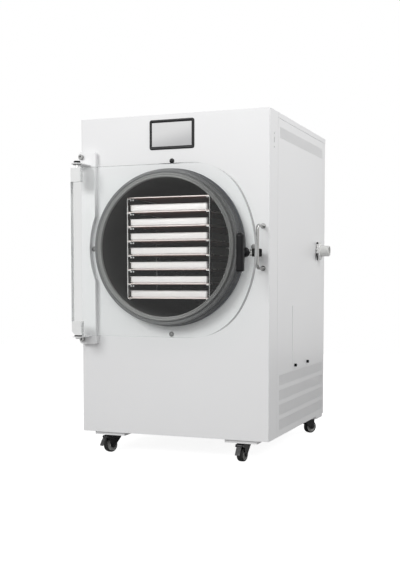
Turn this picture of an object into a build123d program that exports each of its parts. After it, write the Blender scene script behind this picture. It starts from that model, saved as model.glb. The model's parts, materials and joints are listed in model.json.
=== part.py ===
from build123d import *
import math
import os

# A floor-standing freeze dryer on casters. All sizes are in millimetres.
# X runs to the right along the front, Y from the front panel towards the back, Z up from the floor.
# While modelling, X = 0 is the chamber's centre line and Y = 0 is the outer face of the front panel.

# Cabinet
CAB_WIDTH = 700.0
CAB_DEPTH = 760.0
CAB_HEIGHT = 1110.0
SHEET = 1.5              # thickness of the outer sheet metal
BEND_R = 5.0             # outer bend radius of the front panel
WRAP = 95.0              # depth of the front panel's side returns
SEAM = 1.0               # visible gap between neighbouring panels
LID_LIP = 18.0           # height of the top cover's down-turned lip
LID_OVERHANG = 5.0       # how far the top cover reaches past the back panel
PAN_FLANGE = 12.0        # inward flange round each side panel
BASE_SHEET = 2.0
BASE_FLANGE = 30.0

# Chassis of square tube
TUBE = 25.0
TUBE_WALL = 1.5
FRAME_FRONT_Y = 62.0
FRAME_REAR_INSET = 25.0
MID_RAIL_Z = 425.0

# Casters
WHEEL_R = 25.0
WHEEL_WIDTH = 23.0
AXLE_R = 4.0
TRAIL = 25.0             # swivel axis to axle, seen from above
FORK_WALL = 3.0
FORK_GAP = 0.8           # wheel to fork cheek
WHEEL_GAP = 2.5          # wheel to the fork's crown
MOUNT_PLATE = (118.0, 100.0, 12.0)
FRONT_CASTER = (248.0, 60.0)
REAR_CASTER = (290.0, 700.0)
STEM_R = 5.0
STEM_FLANGE_R = 21.0
STEM_FLANGE = 3.0
FORK_BOSS = 10.5
CASTER_TURN = {"fl": -26.0, "fr": -6.0, "rl": 218.0, "rr": 142.0}  # turn of each fork from trailing to the front
PEDAL_WIDTH = 18.0

# Chamber
CHAMBER_Z = 731.5        # height of the drum's axis
DRUM_R = 235.0           # inner radius of the drum
DRUM_WALL = 3.0
DRUM_BACK = 560.0        # Y of the drum's closed end
DRUM_DISH = 30.0         # depth of the drum's dished back
DRUM_FLANGE = 5.0
FLANGE_MARGIN = 15.0     # screw circle to the flange's edge
MOUTH_Y = -70.0          # front of the gasket's lip
GASKET_WIDTH = 14.0      # radial width of the gasket's lip
NECK_FRONT = -58.0       # front of the drum's neck, behind the gasket
COLLAR_GAP = 2.0         # gasket to the collar's bore
COLLAR_WALL = 12.0
COLLAR_FOOT = 7.0        # how far the collar's foot reaches past its bead
COLLAR_FRONT = -62.0
CAP_OFFSET = 27.0        # collar to the circle on which the four screw caps sit
CAP_R = 9.0
COIL_TUBE_R = 4.5
COIL_GAP = 0.3
COIL_TURNS = 4
INSULATION = 46.0        # drum wall to the outside of the foam, with the coil inside it
FOAM_BACK = 25.0         # insulation behind the drum
NUT_R = 7.0
CRADLE_Y = (150.0, 470.0)
CRADLE_THICK = 6.0
CRADLE_HALF = 210.0
CRADLE_RISE = 95.0

# Rack, shelves and trays
RACK_FRONT = -31.0
RACK_DEPTH = 505.0
RACK_HALF = 157.0        # outer half width, over the posts
RACK_FIT = 0.35          # post corner to the drum wall
POST = 7.0
SHELF_COUNT = 8
SHELF_INSET = 0.7        # post ends to the outermost shelves
SHELF_THICK = 3.0
HEATER_THICK = 1.5
HEATER_MARGIN = 18.0
TRAY_HALF = 146.0
TRAY_HEIGHT = 24.0
TRAY_WALL = 1.0
TRAY_SETBACK = 2.0       # tray front behind the rack front
TRAY_REAR_GAP = 14.0
TRAY_CORNER = 10.0

# Door
DOOR_BACK = MOUTH_Y - 0.3
DOOR_THICK = 25.0
DOOR_LEFT = -341.0
DOOR_BOTTOM = 429.0
DOOR_TOP = 1009.0
DOOR_ARC = (-50.0, 719.0, 380.0)   # centre X, centre Z and radius of the free edge
DOOR_CORNER_R = 200.0
DOOR_CHAMFER = 13.0

# Hinge
PIN_X = -322.0
PIN_R = 5.0
FIT = 0.05               # radial running clearance
BLOCK_HEIGHT = 48.0
BLOCK_FIT = 0.1          # hinge block to the door's notch
PIN_CAP_R = 10.0
PIN_CAP = 5.0
LUG_THICK = 3.0
LUG_HALF = 20.0
TOP_LUG_Z = 1022.5       # underside of the upper lug
TOP_WASHER = (14.0, 3.0)
BUSH_R = 9.0
BUSH_GAP = 0.3           # lower bush to the door's hinge block
BUSH_HEIGHT = 4.5
BRACKET_DEPTH = 20.0
BRACKET_SHEET = 3.0
BRACKET_Z = (394.0, 1072.0)
BRACKET_LEFT = -350.0
BRACKET_WAIST = -335.0
BRACKET_RIGHT = -283.0
BRACKET_EAR = 75.0
BRACKET_NOTCH = 34.5     # collar to the bracket's notch
BRACKET_CORNER = 10.0
BOLT_X = -338.0
BOLT_INSET = 17.5        # bracket end to the bolt
BOLT_R = 5.0
BOLT_HEAD = (9.0, 10.0)

# Latch
LATCH = (296.0, 711.0)   # X and Z of the latch shaft
SHAFT_R = 6.5
HUB_R = 17.0
HUB_FRONT = -118.0
LEVER_WIDTH = 20.0
LEVER_Y = (-155.0, -128.0)
LEVER_UP = 62.0
LEVER_DOWN = 64.0
ARM_HEIGHT = 20.0
ARM_END = 331.0
PAD_X = (309.0, 334.0)
PAD_HALF = 13.0
PAD_DEPTH = 24.0
PAD_WALL = 3.0
KEEPER_X = 328.0
KEEPER_R = 5.0
KEEPER_FRONT = -60.0     # middle of the rod
KEEPER_Z = (660.0, 800.0)
KEEPER_BEND = 12.0
KEEPER_GAP = 0.3         # rod to latch pad

# Screen, service port, side cover and vents
SCREEN = (166.0, 102.0)
SCREEN_Z = 1119.5
SCREEN_PROUD = 3.0
GLASS = (147.0, 81.0)
HOUSING_BACK = 24.0
SERVICE_Y = 50.0
SERVICE_Z = 1089.0
COVER_Y = (287.0, 515.0)
COVER_Z = (300.0, 530.0)
COVER_MARGIN = 14.0
COVER_THICK = 1.5
THUMB_INSET = (28.0, 12.0)
THUMB_R = 7.0
SLOT_WIDTH = 2.0
SLOT_PITCH = 8.0
UPPER_VENT = (119.0, 718.0, 1104.0, 1142.0)
LOWER_VENTS = [(122.0, 738.0, 100.0 + 51.7 * i, 137.0 + 51.7 * i) for i in range(4)]

# Vacuum port
PORT_Y = 656.0
PORT_Z = 736.0
PIPE_R = 20.0
PIPE_WALL = 2.0          # from the panel's hole to the pipe's bore
PIPE_GAP = 0.2           # pipe to the holes it passes through
PIPE_BEND = 35.0
PORT_FLANGE_R = 27.5
PORT_FLANGE = 4.0
PORT_STAND = 3.0         # flange face to the side panel
ADAPTER_R = 21.0
PORT_REACH = 46.0        # side panel to the end of the spigot
CLAMP_WALL = 7.0         # clamp ring outside the flanges
CLAMP_GAP = 1.0          # clamp ring to the side panel
CLAMP_SPLIT = 5.0        # gap between the clamp's two ears
CLAMP_EAR = (11.0, 18.0)  # reach and height over both ears
CLAMP_BOLT = (2.5, 22.0, 20.0)  # radius, and how far it goes above and below the port's axis
CLAMP_BALL = 4.5
WING_HUB = (5.0, 7.0)
WING = (15.0, 5.0, 26.0, 4.0)  # width at the hub, width at the tip, length and thickness

# Refrigeration and power
COMPRESSOR = (-95.0, 300.0)
COMPRESSOR_R = 78.0
COMPRESSOR_HEIGHT = 215.0
FOOT_RISE = 16.0
CONDENSER = (300.0, 50.0, 270.0)
CONDENSER_Z = 120.0
CONDENSER_GAP = 26.0     # back panel to the fan plate
FAN_R = 110.0
FAN_HUB_R = 28.0
FAN_FIT = 6.0
FAN_BLADES = 5
INLET = (-230.0, 230.0)  # X and Z
INLET_SIZE = (48.0, 28.0)

CASTER_HEIGHT = 2 * WHEEL_R + WHEEL_GAP + FORK_BOSS + STEM_FLANGE  # floor to the underside of the mounting plate
BASE_Z = CASTER_HEIGHT + MOUNT_PLATE[2]
TOP_Z = BASE_Z + CAB_HEIGHT
SIDE_X = CAB_WIDTH / 2
REAR_Y = CAB_DEPTH
DOOR_FRONT = DOOR_BACK - DOOR_THICK
PIN_Y = DOOR_BACK - DOOR_THICK / 2
SIDE_TOP = TOP_Z - LID_LIP - SEAM
BASE_HALF = SIDE_X - PAN_FLANGE - SEAM
UPRIGHT_X = BASE_HALF - BASE_SHEET - TUBE / 2
FRAME_REAR_Y = REAR_Y - FRAME_REAR_INSET
FLOOR_TOP = BASE_Z + BASE_SHEET
COLLAR_BORE = DRUM_R + GASKET_WIDTH + COLLAR_GAP
COLLAR_BEAD = COLLAR_BORE + COLLAR_WALL
COLLAR_BASE = COLLAR_BEAD + COLLAR_FOOT
CAP_CIRCLE = COLLAR_BASE + CAP_OFFSET
DRUM_FLANGE_R = CAP_CIRCLE + FLANGE_MARGIN
BRACKET_NOTCH_R = COLLAR_BASE + BRACKET_NOTCH
INSULATION_R = DRUM_R + DRUM_WALL + INSULATION
POST_HALF_HEIGHT = math.sqrt((DRUM_R - RACK_FIT) ** 2 - RACK_HALF**2)
SHELF_PITCH = (2 * (POST_HALF_HEIGHT - SHELF_INSET) - SHELF_THICK) / (SHELF_COUNT - 1)
LOWEST_SHELF = CHAMBER_Z - (SHELF_PITCH * (SHELF_COUNT - 1) + SHELF_THICK) / 2
FAN_X = 0.0
FAN_Z = CONDENSER_Z + CONDENSER[2] / 2
PORT_END = SIDE_X + PORT_REACH

# The finished model's origin is on the floor, under the middle of the overall box.
ORIGIN_X = (PORT_END - SIDE_X) / 2
ORIGIN_Y = (LEVER_Y[0] + REAR_Y + LID_OVERHANG) / 2

os.makedirs("parts", exist_ok=True)


def save(name, *shapes):
    moved = [Pos(-ORIGIN_X, -ORIGIN_Y, 0) * shape for shape in shapes]
    export_step(moved[0] if len(moved) == 1 else Compound(moved), f"parts/{name}.step")


def block(x, y, z):
    """A box between two values on each axis."""
    size = [abs(b - a) for a, b in (x, y, z)]
    middle = [(a + b) / 2 for a, b in (x, y, z)]
    return Pos(*middle) * Box(*size)


def rod(start, direction, radius, length):
    return Solid.make_cylinder(radius, length, Plane(origin=start, z_dir=direction))


def along_y(x, z, radius, y0, y1):
    return rod((x, y0, z), (0, 1, 0), radius, y1 - y0)


def along_x(y, z, radius, x0, x1):
    return rod((x0, y, z), (1, 0, 0), radius, x1 - x0)


def along_z(x, y, radius, z0, z1):
    return rod((x, y, z0), (0, 0, 1), radius, z1 - z0)


def upright_edges(shape, axis=Axis.Z):
    return shape.edges().filter_by(axis)


def turned(points, radius=0.0):
    """Revolves a closed (radius, y) outline about the chamber's axis."""
    if radius:
        outline = FilletPolyline(*points, radius=radius, close=True)
    else:
        outline = Polyline(*points, close=True)
    return Pos(0, 0, CHAMBER_Z) * revolve(make_face(outline), Axis.Y)


def plate_xz(face, y0, y1):
    """Extrudes a face drawn in X and Z from y0 to y1."""
    lying = Plane(origin=(0, y1, 0), x_dir=(1, 0, 0), z_dir=(0, -1, 0)) * face
    return extrude(lying, y1 - y0)


def square_tube(x, y, z):
    """A hollow square tube between two points that differ along one axis only."""
    ends = (x, y, z)
    along = max(range(3), key=lambda i: abs(ends[i][1] - ends[i][0]))
    outer, inner = [], []
    for i, (a, b) in enumerate(ends):
        grow = 0 if i == along else TUBE / 2
        wall = 1 if i == along else TUBE_WALL - TUBE / 2
        outer.append((a - grow, b + grow))
        inner.append((a - 1, b + 1) if i == along else (a + wall, b - wall))
    return block(*outer) - block(*inner)


def spaced(start, end, pitch):
    """Middles of the slots that fit between start and end at about the given pitch."""
    count = int((end - start) // pitch)
    step = (end - start) / count
    return [start + step * (i + 0.5) for i in range(count)]


# Cabinet sheet metal


def front_panel():
    outer = block((-SIDE_X, SIDE_X), (0, WRAP), (BASE_Z, TOP_Z))
    outer = fillet(upright_edges(outer).group_by(Axis.Y)[0], BEND_R)
    inner = block((SHEET - SIDE_X, SIDE_X - SHEET), (SHEET, WRAP + 1), (BASE_Z - 1, TOP_Z - SHEET))
    inner = fillet(upright_edges(inner).group_by(Axis.Y)[0], BEND_R - SHEET)
    panel = outer - inner
    panel -= along_y(0, CHAMBER_Z, COLLAR_BORE + 2, -1, SHEET + 1)
    width, height = SCREEN[0] - 8, SCREEN[1] - 8
    z = (SCREEN_Z - height / 2, SCREEN_Z + height / 2)
    panel -= block((-width / 2, width / 2), (-1, SHEET + 1), z)
    for x, z in cap_places():
        panel -= along_y(x, z, 4 + FIT, -1, SHEET + 1)
    for z in KEEPER_Z:
        panel -= along_y(KEEPER_X, z, KEEPER_R + FIT, -1, SHEET + 1)
    for z in bolt_heights():
        panel -= along_y(BOLT_X, z, BOLT_R + FIT, -1, SHEET + 1)
    half = 6.0
    panel -= block((SIDE_X - 4, SIDE_X + 1), (SERVICE_Y - half, SERVICE_Y + half), (SERVICE_Z - 12, SERVICE_Z + 12))
    for z in (SERVICE_Z - 22.5, SERVICE_Z + 22.5):
        panel -= along_x(SERVICE_Y, z, 2 + FIT, SIDE_X - 4, SIDE_X + 1)
    return panel


def top_cover():
    y = (WRAP + SEAM, REAR_Y + LID_OVERHANG)
    z = (TOP_Z - LID_LIP, TOP_Z)
    outer = block((-SIDE_X, SIDE_X), y, z)
    inner = block((SHEET - SIDE_X, SIDE_X - SHEET), (y[0] - 1, y[1] - SHEET), (z[0] - 1, z[1] - SHEET))
    return outer - inner


def slots(vents):
    """The vent slots of one side as one group of cutters, through the outer sheet only."""
    cutters = []
    for y0, y1, z0, z1 in vents:
        for y in spaced(y0, y1, SLOT_PITCH):
            cutters.append(block((SIDE_X - 2 * SHEET, SIDE_X + 1), (y - SLOT_WIDTH / 2, y + SLOT_WIDTH / 2), (z0, z1)))
    return cutters


def side_pan():
    """A side panel on the right: a flat sheet with an inward flange on its four edges."""
    y = (WRAP + SEAM, REAR_Y)
    outer = block((SIDE_X - PAN_FLANGE, SIDE_X), y, (BASE_Z, SIDE_TOP))
    inside = block((SIDE_X - PAN_FLANGE - 1, SIDE_X - SHEET), (y[0] + SHEET, y[1] - SHEET),
                   (BASE_Z + SHEET, SIDE_TOP - SHEET))
    return outer - inside - slots([UPPER_VENT, *LOWER_VENTS])


def right_side_panel():
    panel = side_pan()
    low = COVER_Z[0] + THUMB_INSET[1] * 2
    opening_y = (COVER_Y[0] + COVER_MARGIN, COVER_Y[1] - COVER_MARGIN)
    panel -= block((SIDE_X - 5, SIDE_X + 1), opening_y, (low, COVER_Z[1] - COVER_MARGIN))
    for y, z in thumb_places():
        panel -= along_x(y, z, 2.5 + FIT, SIDE_X - 5, SIDE_X + 1)
    return panel - along_x(PORT_Y, PORT_Z, PIPE_R, SIDE_X - 5, SIDE_X + 1)


def left_side_panel():
    return mirror(side_pan(), Plane.YZ)


def rear_panel():
    half = SIDE_X - 2.0
    panel = block((-half, half), (REAR_Y, REAR_Y + SHEET), (BASE_Z + 2, TOP_Z - 4))
    cutters = []
    for z in spaced(FAN_Z - FAN_R, FAN_Z + FAN_R, 20):
        for x in (FAN_X - 56, FAN_X + 56):
            cutters.append(block((x - 50, x + 50), (REAR_Y - 1, REAR_Y + SHEET + 1), (z - 3, z + 3)))
    x, z = INLET
    w, h = INLET_SIZE
    cutters.append(block((x - w / 2, x + w / 2), (REAR_Y - 1, REAR_Y + SHEET + 1), (z - h / 2, z + h / 2)))
    return panel - cutters


def base_pan():
    half = BASE_HALF
    y = (SHEET, REAR_Y - SHEET - SEAM)
    z = (BASE_Z, BASE_Z + BASE_FLANGE)
    outer = block((-half, half), y, z)
    inner = block((BASE_SHEET - half, half - BASE_SHEET), (y[0] + BASE_SHEET, y[1] - BASE_SHEET),
                  (z[0] + BASE_SHEET, z[1] + 1))
    return outer - inner


def chassis_frame():
    """Uprights, side rails and cross rails: separate square tubes that butt against each other."""
    half = TUBE / 2
    top_rail = TOP_Z - SHEET - half
    tubes = []
    for x in (-UPRIGHT_X, UPRIGHT_X):
        for y in (FRAME_FRONT_Y, FRAME_REAR_Y):
            tubes.append(square_tube((x, x), (y, y), (FLOOR_TOP, TOP_Z - SHEET)))
        for z in (MID_RAIL_Z, top_rail):
            tubes.append(square_tube((x, x), (FRAME_FRONT_Y + half, FRAME_REAR_Y - half), (z, z)))
    for y in (FRAME_FRONT_Y, FRAME_REAR_Y):
        tubes.append(square_tube((half - UPRIGHT_X, UPRIGHT_X - half), (y, y), (top_rail, top_rail)))
    for y in CRADLE_Y:
        tubes.append(square_tube((half - UPRIGHT_X, UPRIGHT_X - half), (y, y), (MID_RAIL_Z, MID_RAIL_Z)))
    return tubes


# Casters


def caster_places():
    fx, fy = FRONT_CASTER
    rx, ry = REAR_CASTER
    return {"fl": (-fx, fy), "fr": (fx, fy), "rl": (-rx, ry), "rr": (rx, ry)}


def caster_plates():
    width, depth, thick = MOUNT_PLATE
    plates = []
    for x, y in caster_places().values():
        plate = block((x - width / 2, x + width / 2), (y - depth / 2, y + depth / 2), (CASTER_HEIGHT, BASE_Z))
        plates.append(fillet(upright_edges(plate), 4))
    return plates


def caster_stems():
    """The fixed top flange of each caster with its king pin, which the fork turns on."""
    fork_top = CASTER_HEIGHT - STEM_FLANGE
    stems = []
    for x, y in caster_places().values():
        stem = along_z(x, y, STEM_FLANGE_R, fork_top, CASTER_HEIGHT)
        stem += along_z(x, y, STEM_R, fork_top - FORK_BOSS - 1, fork_top)
        stem += along_z(x, y, STEM_R + 3, fork_top - FORK_BOSS - 3, fork_top - FORK_BOSS - 1)
        stems.append(stem)
    return stems


def fork(brake):
    """A fork whose wheel trails along -Y from the swivel axis at the origin."""
    top = CASTER_HEIGHT - STEM_FLANGE - 0.3
    boss_low = CASTER_HEIGHT - STEM_FLANGE - FORK_BOSS
    inner = WHEEL_WIDTH / 2 + FORK_GAP
    outer = inner + FORK_WALL
    boss = along_z(0, 0, outer + 4, boss_low, top)
    web = block((-outer, outer), (-TRAIL - 12, 0), (boss_low, top))
    body = boss + web
    with BuildSketch(Plane.YZ) as cheek:
        with Locations((-TRAIL, WHEEL_R)):
            Circle(9)
        with Locations((-TRAIL / 2, (boss_low + top) / 2)):
            Rectangle(TRAIL + 24, top - boss_low)
        make_hull()
    for side in (-1, 1):
        wall = extrude(cheek.sketch, FORK_WALL)
        body += Pos(inner if side > 0 else -outer, 0, 0) * wall
    body -= along_z(0, 0, STEM_R + FIT, 0, CASTER_HEIGHT)
    body -= along_z(0, 0, STEM_R + 4, 0, boss_low)
    axle = along_x(-TRAIL, WHEEL_R, AXLE_R, -outer - 2, outer + 2)
    if brake:
        pivot_y, pivot_z = pedal_pivot()
        for side in (-1, 1):
            x = inner if side > 0 else -outer
            ear = along_x(pivot_y, pivot_z, 5, x, x + FORK_WALL)
            ear += block((x, x + FORK_WALL), (pivot_y, -TRAIL), (pivot_z - 5, pivot_z + 5))
            body += ear
        body += along_x(pivot_y, pivot_z, 2.5, -outer, outer)
    return body + axle


def pedal_pivot():
    """Y and Z of the brake pedal's axis in the fork's own frame."""
    return -TRAIL - 20.0, CASTER_HEIGHT - STEM_FLANGE - 7.0


def brake_pedal():
    pivot_y, pivot_z = pedal_pivot()
    half = PEDAL_WIDTH / 2
    pedal = along_x(pivot_y, pivot_z, 5, -half, half)
    tread = block((-half, half), (pivot_y - 20, pivot_y), (pivot_z - 1, pivot_z + 3))
    pedal += fillet(upright_edges(tread).group_by(Axis.Y)[0], 4)
    return pedal - along_x(pivot_y, pivot_z, 2.5 + FIT, -half - 1, half + 1)


def caster_wheel():
    """A wheel with an eased tread and a recessed hub on both sides, about the X axis."""
    half = WHEEL_WIDTH / 2
    bore = AXLE_R + FIT
    right = [(WHEEL_R, half - 4), (WHEEL_R - 1, half - 1.5), (WHEEL_R - 3, half), (WHEEL_R - 7, half),
             (WHEEL_R - 8, half - 3), (9, half - 3), (8, half), (bore, half)]
    left = [(r, -y) for r, y in reversed(right)]
    spun = revolve(make_face(Polyline(*right, *left, close=True)), Axis.Y)
    return Pos(0, -TRAIL, WHEEL_R) * (Rot(0, 0, 90) * spun)


def save_casters():
    for key, (x, y) in caster_places().items():
        place = Pos(x, y, 0) * Rot(0, 0, CASTER_TURN[key])
        brake = key in ("fl", "fr")
        save(f"caster_fork_{key}", place * fork(brake))
        save(f"caster_wheel_{key}", place * caster_wheel())
        if brake:
            save(f"brake_pedal_{key}", place * brake_pedal())


# Chamber


def cap_places():
    r = CAP_CIRCLE
    return [(0, CHAMBER_Z + r), (0, CHAMBER_Z - r), (-r, CHAMBER_Z), (r, CHAMBER_Z)]


def chamber_drum():
    """The drum with its neck, the flange behind the front panel and a dished back with a port."""
    outer = DRUM_R + DRUM_WALL
    flange_y = SHEET
    tube = turned([(DRUM_R, NECK_FRONT), (DRUM_R, DRUM_BACK), (outer, DRUM_BACK), (outer, NECK_FRONT)])
    neck = turned([(outer, NECK_FRONT), (outer, NECK_FRONT + 8), (COLLAR_BORE - 2, NECK_FRONT + 8),
                   (COLLAR_BORE - 2, NECK_FRONT)])
    flange = turned([(outer, flange_y), (outer, flange_y + DRUM_FLANGE), (DRUM_FLANGE_R, flange_y + DRUM_FLANGE),
                     (DRUM_FLANGE_R, flange_y)])
    back = turned([(0, DRUM_BACK + DRUM_DISH - 4), (DRUM_R - DRUM_DISH, DRUM_BACK + DRUM_DISH - 4),
                   (DRUM_R, DRUM_BACK), (outer, DRUM_BACK), (DRUM_R - DRUM_DISH + 2, DRUM_BACK + DRUM_DISH),
                   (0, DRUM_BACK + DRUM_DISH)])
    drum = tube + neck + flange + back
    drum -= along_y(0, PORT_Z, PIPE_R - PIPE_WALL, DRUM_BACK, DRUM_BACK + DRUM_DISH + 1)
    for x, z in cap_places():
        drum -= along_y(x, z, 4 + FIT, 0, flange_y + DRUM_FLANGE + 1)
    return drum


def neck_collar():
    """The grey collar round the neck: a front bead, a ribbed side and a foot on the panel."""
    front = COLLAR_FRONT
    return turned([(COLLAR_BORE, 0), (COLLAR_BORE, front + 6), (COLLAR_BORE + 3, front + 6), (COLLAR_BORE + 5, front),
                   (COLLAR_BEAD - 2, front), (COLLAR_BEAD + 1, front + 8), (COLLAR_BEAD + 2, -38),
                   (COLLAR_BEAD + 4, -35), (COLLAR_BEAD + 3, -32), (COLLAR_BEAD + 4, -24), (COLLAR_BEAD + 2, -22),
                   (COLLAR_BEAD + 4, -19), (COLLAR_BASE, -16), (COLLAR_BASE, -3), (COLLAR_BASE - 2, 0)])


def door_gasket():
    lip = DRUM_R + GASKET_WIDTH
    return turned([(DRUM_R, NECK_FRONT), (DRUM_R, MOUTH_Y + 3), (DRUM_R + 2, MOUTH_Y), (lip - 3, MOUTH_Y),
                   (lip, MOUTH_Y + 4), (lip, NECK_FRONT)])


def insulation_inner():
    return DRUM_R + DRUM_WALL + 2 * (COIL_GAP + COIL_TUBE_R) + COIL_GAP


def drum_insulation():
    inner = insulation_inner()
    start = SHEET + DRUM_FLANGE
    back = DRUM_BACK + DRUM_DISH
    foam = turned([(inner, start), (inner, back), (0, back), (0, back + FOAM_BACK), (INSULATION_R, back + FOAM_BACK),
                   (INSULATION_R, start)])
    foam -= along_y(0, PORT_Z, PIPE_R, back - 1, back + FOAM_BACK + 1)
    for x, z in cap_places():
        foam -= along_y(x, z, NUT_R + 1, start - 1, start + 15)
    return foam


def evaporator_coil():
    """Flattened refrigerant tube round the drum in rings, joined by a header along its lower side."""
    inner = DRUM_R + DRUM_WALL + COIL_GAP
    outer = inner + 2 * COIL_TUBE_R
    first, last = 80.0, DRUM_BACK - 60.0
    step = (last - first) / (COIL_TURNS - 1)
    coil = along_y(0, CHAMBER_Z - inner - COIL_TUBE_R, COIL_TUBE_R - 0.2, first, last)
    for i in range(COIL_TURNS):
        y0, y1 = first + step * i - COIL_TUBE_R, first + step * i + COIL_TUBE_R
        coil += turned([(inner, y0), (inner, y1), (outer, y1), (outer, y0)])
    return coil


def drum_cradles():
    low = MID_RAIL_Z + TUBE / 2
    cradles = []
    for y in CRADLE_Y:
        ys = (y - CRADLE_THICK / 2, y + CRADLE_THICK / 2)
        saddle = block((-CRADLE_HALF, CRADLE_HALF), ys, (low, low + CRADLE_RISE))
        cradles.append(saddle - along_y(0, CHAMBER_Z, INSULATION_R + 0.3, ys[0] - 1, ys[1] + 1))
    return cradles


# Rack and trays


def rack_posts():
    posts = []
    low, high = CHAMBER_Z - POST_HALF_HEIGHT, CHAMBER_Z + POST_HALF_HEIGHT
    last = RACK_FRONT + RACK_DEPTH - POST
    for y in (RACK_FRONT, (RACK_FRONT + last) / 2, last):
        for side in (-1, 1):
            x = sorted((side * (RACK_HALF - POST), side * RACK_HALF))
            posts.append(block(x, (y, y + POST), (low, high)))
    return posts


def shelf_z(i):
    return LOWEST_SHELF + SHELF_PITCH * i


def shelf_plates():
    half = RACK_HALF - POST
    y = (RACK_FRONT, RACK_FRONT + RACK_DEPTH)
    return [block((-half, half), y, (shelf_z(i), shelf_z(i) + SHELF_THICK)) for i in range(SHELF_COUNT)]


def heater_pads():
    half = RACK_HALF - POST - HEATER_MARGIN
    y = (RACK_FRONT + HEATER_MARGIN / 2, RACK_FRONT + RACK_DEPTH - HEATER_MARGIN)
    return [block((-half, half), y, (shelf_z(i) - HEATER_THICK, shelf_z(i))) for i in range(1, SHELF_COUNT)]


def tray(i):
    """A pressed steel pan that rests on shelf i."""
    low = shelf_z(i) + SHELF_THICK
    y = (RACK_FRONT + TRAY_SETBACK, RACK_FRONT + RACK_DEPTH - TRAY_REAR_GAP)
    outer = block((-TRAY_HALF, TRAY_HALF), y, (low, low + TRAY_HEIGHT))
    outer = fillet(upright_edges(outer), TRAY_CORNER)
    inner = block((TRAY_WALL - TRAY_HALF, TRAY_HALF - TRAY_WALL), (y[0] + TRAY_WALL, y[1] - TRAY_WALL),
                  (low + TRAY_WALL, low + TRAY_HEIGHT + 1))
    return outer - fillet(upright_edges(inner), TRAY_CORNER - TRAY_WALL)


# Door


def door_outline():
    cx, cz, radius = DOOR_ARC
    right = cx + radius + 50
    sheet = Pos((DOOR_LEFT + right) / 2, (DOOR_BOTTOM + DOOR_TOP) / 2) * Rectangle(right - DOOR_LEFT, DOOR_TOP - DOOR_BOTTOM)
    face = sheet & (Pos(cx, cz) * Circle(radius) + Pos(DOOR_LEFT, cz) * Rectangle(2 * (cx - DOOR_LEFT), 2 * radius))
    corners = [v for v in face.vertices() if v.X > cx]
    return fillet(corners, DOOR_CORNER_R)


def block_half():
    """Half width of a hinge block, which is centred on the pin and flush with the door's left edge."""
    return PIN_X - DOOR_LEFT


def corner_block(z0, z1, grow=0.0):
    right = PIN_X + block_half() + grow
    low = z0 - (grow if z0 > DOOR_BOTTOM else 1.0 if grow else 0)
    high = z1 + (grow if z1 < DOOR_TOP else 1.0 if grow else 0)
    left = DOOR_LEFT - (1.0 if grow else 0)
    y = (DOOR_FRONT - (1.0 if grow else 0), DOOR_BACK + (1.0 if grow else 0))
    return block((left, right), y, (low, high))


def block_spans():
    return [(DOOR_BOTTOM, DOOR_BOTTOM + BLOCK_HEIGHT), (DOOR_TOP - BLOCK_HEIGHT, DOOR_TOP)]


def door_plate():
    plate = plate_xz(door_outline(), DOOR_FRONT, DOOR_BACK)
    for z0, z1 in block_spans():
        plate -= corner_block(z0, z1, BLOCK_FIT)
    return plate - along_y(*LATCH, SHAFT_R + FIT, DOOR_FRONT - 1, DOOR_BACK + 1)


def hinge_blocks():
    blocks = []
    for z0, z1 in block_spans():
        piece = corner_block(z0, z1)
        if z0 == DOOR_BOTTOM:
            corner = upright_edges(piece, Axis.Y).group_by(Axis.X)[0].sort_by(Axis.Z)[0]
            piece = chamfer(corner, DOOR_CHAMFER)
        piece -= along_z(PIN_X, PIN_Y, PIN_R + FIT, z0 - 1, z1 + 1)
        blocks.append(piece)
    return blocks


def hinge_bracket():
    """A folded bracket on the front panel: web, side flanges and two lugs that carry the pins."""
    z0, z1 = BRACKET_Z
    web_y = (-BRACKET_DEPTH, BRACKET_SHEET - BRACKET_DEPTH)
    outline = Pos((BRACKET_LEFT + BRACKET_RIGHT) / 2, (z0 + z1) / 2) * Rectangle(BRACKET_RIGHT - BRACKET_LEFT, z1 - z0)
    waist = Pos((BRACKET_LEFT + BRACKET_WAIST) / 2, (z0 + z1) / 2) * Rectangle(
        BRACKET_WAIST - BRACKET_LEFT, z1 - z0 - 2 * BRACKET_EAR)
    outline = fillet(outline.vertices(), BRACKET_CORNER) - waist
    solid = plate_xz(outline, -BRACKET_DEPTH, 0)
    hollow = plate_xz(offset(outline, -BRACKET_SHEET, kind=Kind.INTERSECTION), web_y[1], 1)
    bracket = solid - hollow
    bracket -= along_y(0, CHAMBER_Z, BRACKET_NOTCH_R, -BRACKET_DEPTH - 1, 1)
    for z in (TOP_LUG_Z, lower_lug_z()):
        lug = block((PIN_X - LUG_HALF, PIN_X + LUG_HALF), (PIN_Y, web_y[0]), (z, z + LUG_THICK))
        lug += along_z(PIN_X, PIN_Y, LUG_HALF, z, z + LUG_THICK)
        bracket += lug
        bracket -= along_z(PIN_X, PIN_Y, PIN_R + FIT, z - 1, z + LUG_THICK + 1)
    for z in bolt_heights():
        bracket -= along_y(BOLT_X, z, BOLT_R + FIT, -BRACKET_DEPTH - 1, 1)
    return bracket


def lower_lug_z():
    return DOOR_BOTTOM - BUSH_GAP - BUSH_HEIGHT - LUG_THICK


def bolt_heights():
    return (BRACKET_Z[0] + BOLT_INSET, BRACKET_Z[1] - BOLT_INSET)


def hinge_pins():
    """Two steel pins, let into the hinge blocks from above and from below."""
    depth = BLOCK_HEIGHT - 8
    upper = along_z(PIN_X, PIN_Y, PIN_R, DOOR_TOP - depth, TOP_LUG_Z + LUG_THICK)
    lower = along_z(PIN_X, PIN_Y, PIN_R, lower_lug_z(), DOOR_BOTTOM + depth)
    return [upper, lower]


def pin_caps():
    top = TOP_LUG_Z + LUG_THICK
    low = lower_lug_z()
    upper = along_z(PIN_X, PIN_Y, PIN_CAP_R, top, top + PIN_CAP)
    upper = fillet(upper.edges().group_by(Axis.Z)[-1], 1.5)
    lower = along_z(PIN_X, PIN_Y, PIN_CAP_R, low - PIN_CAP, low)
    return [upper, lower]


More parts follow.
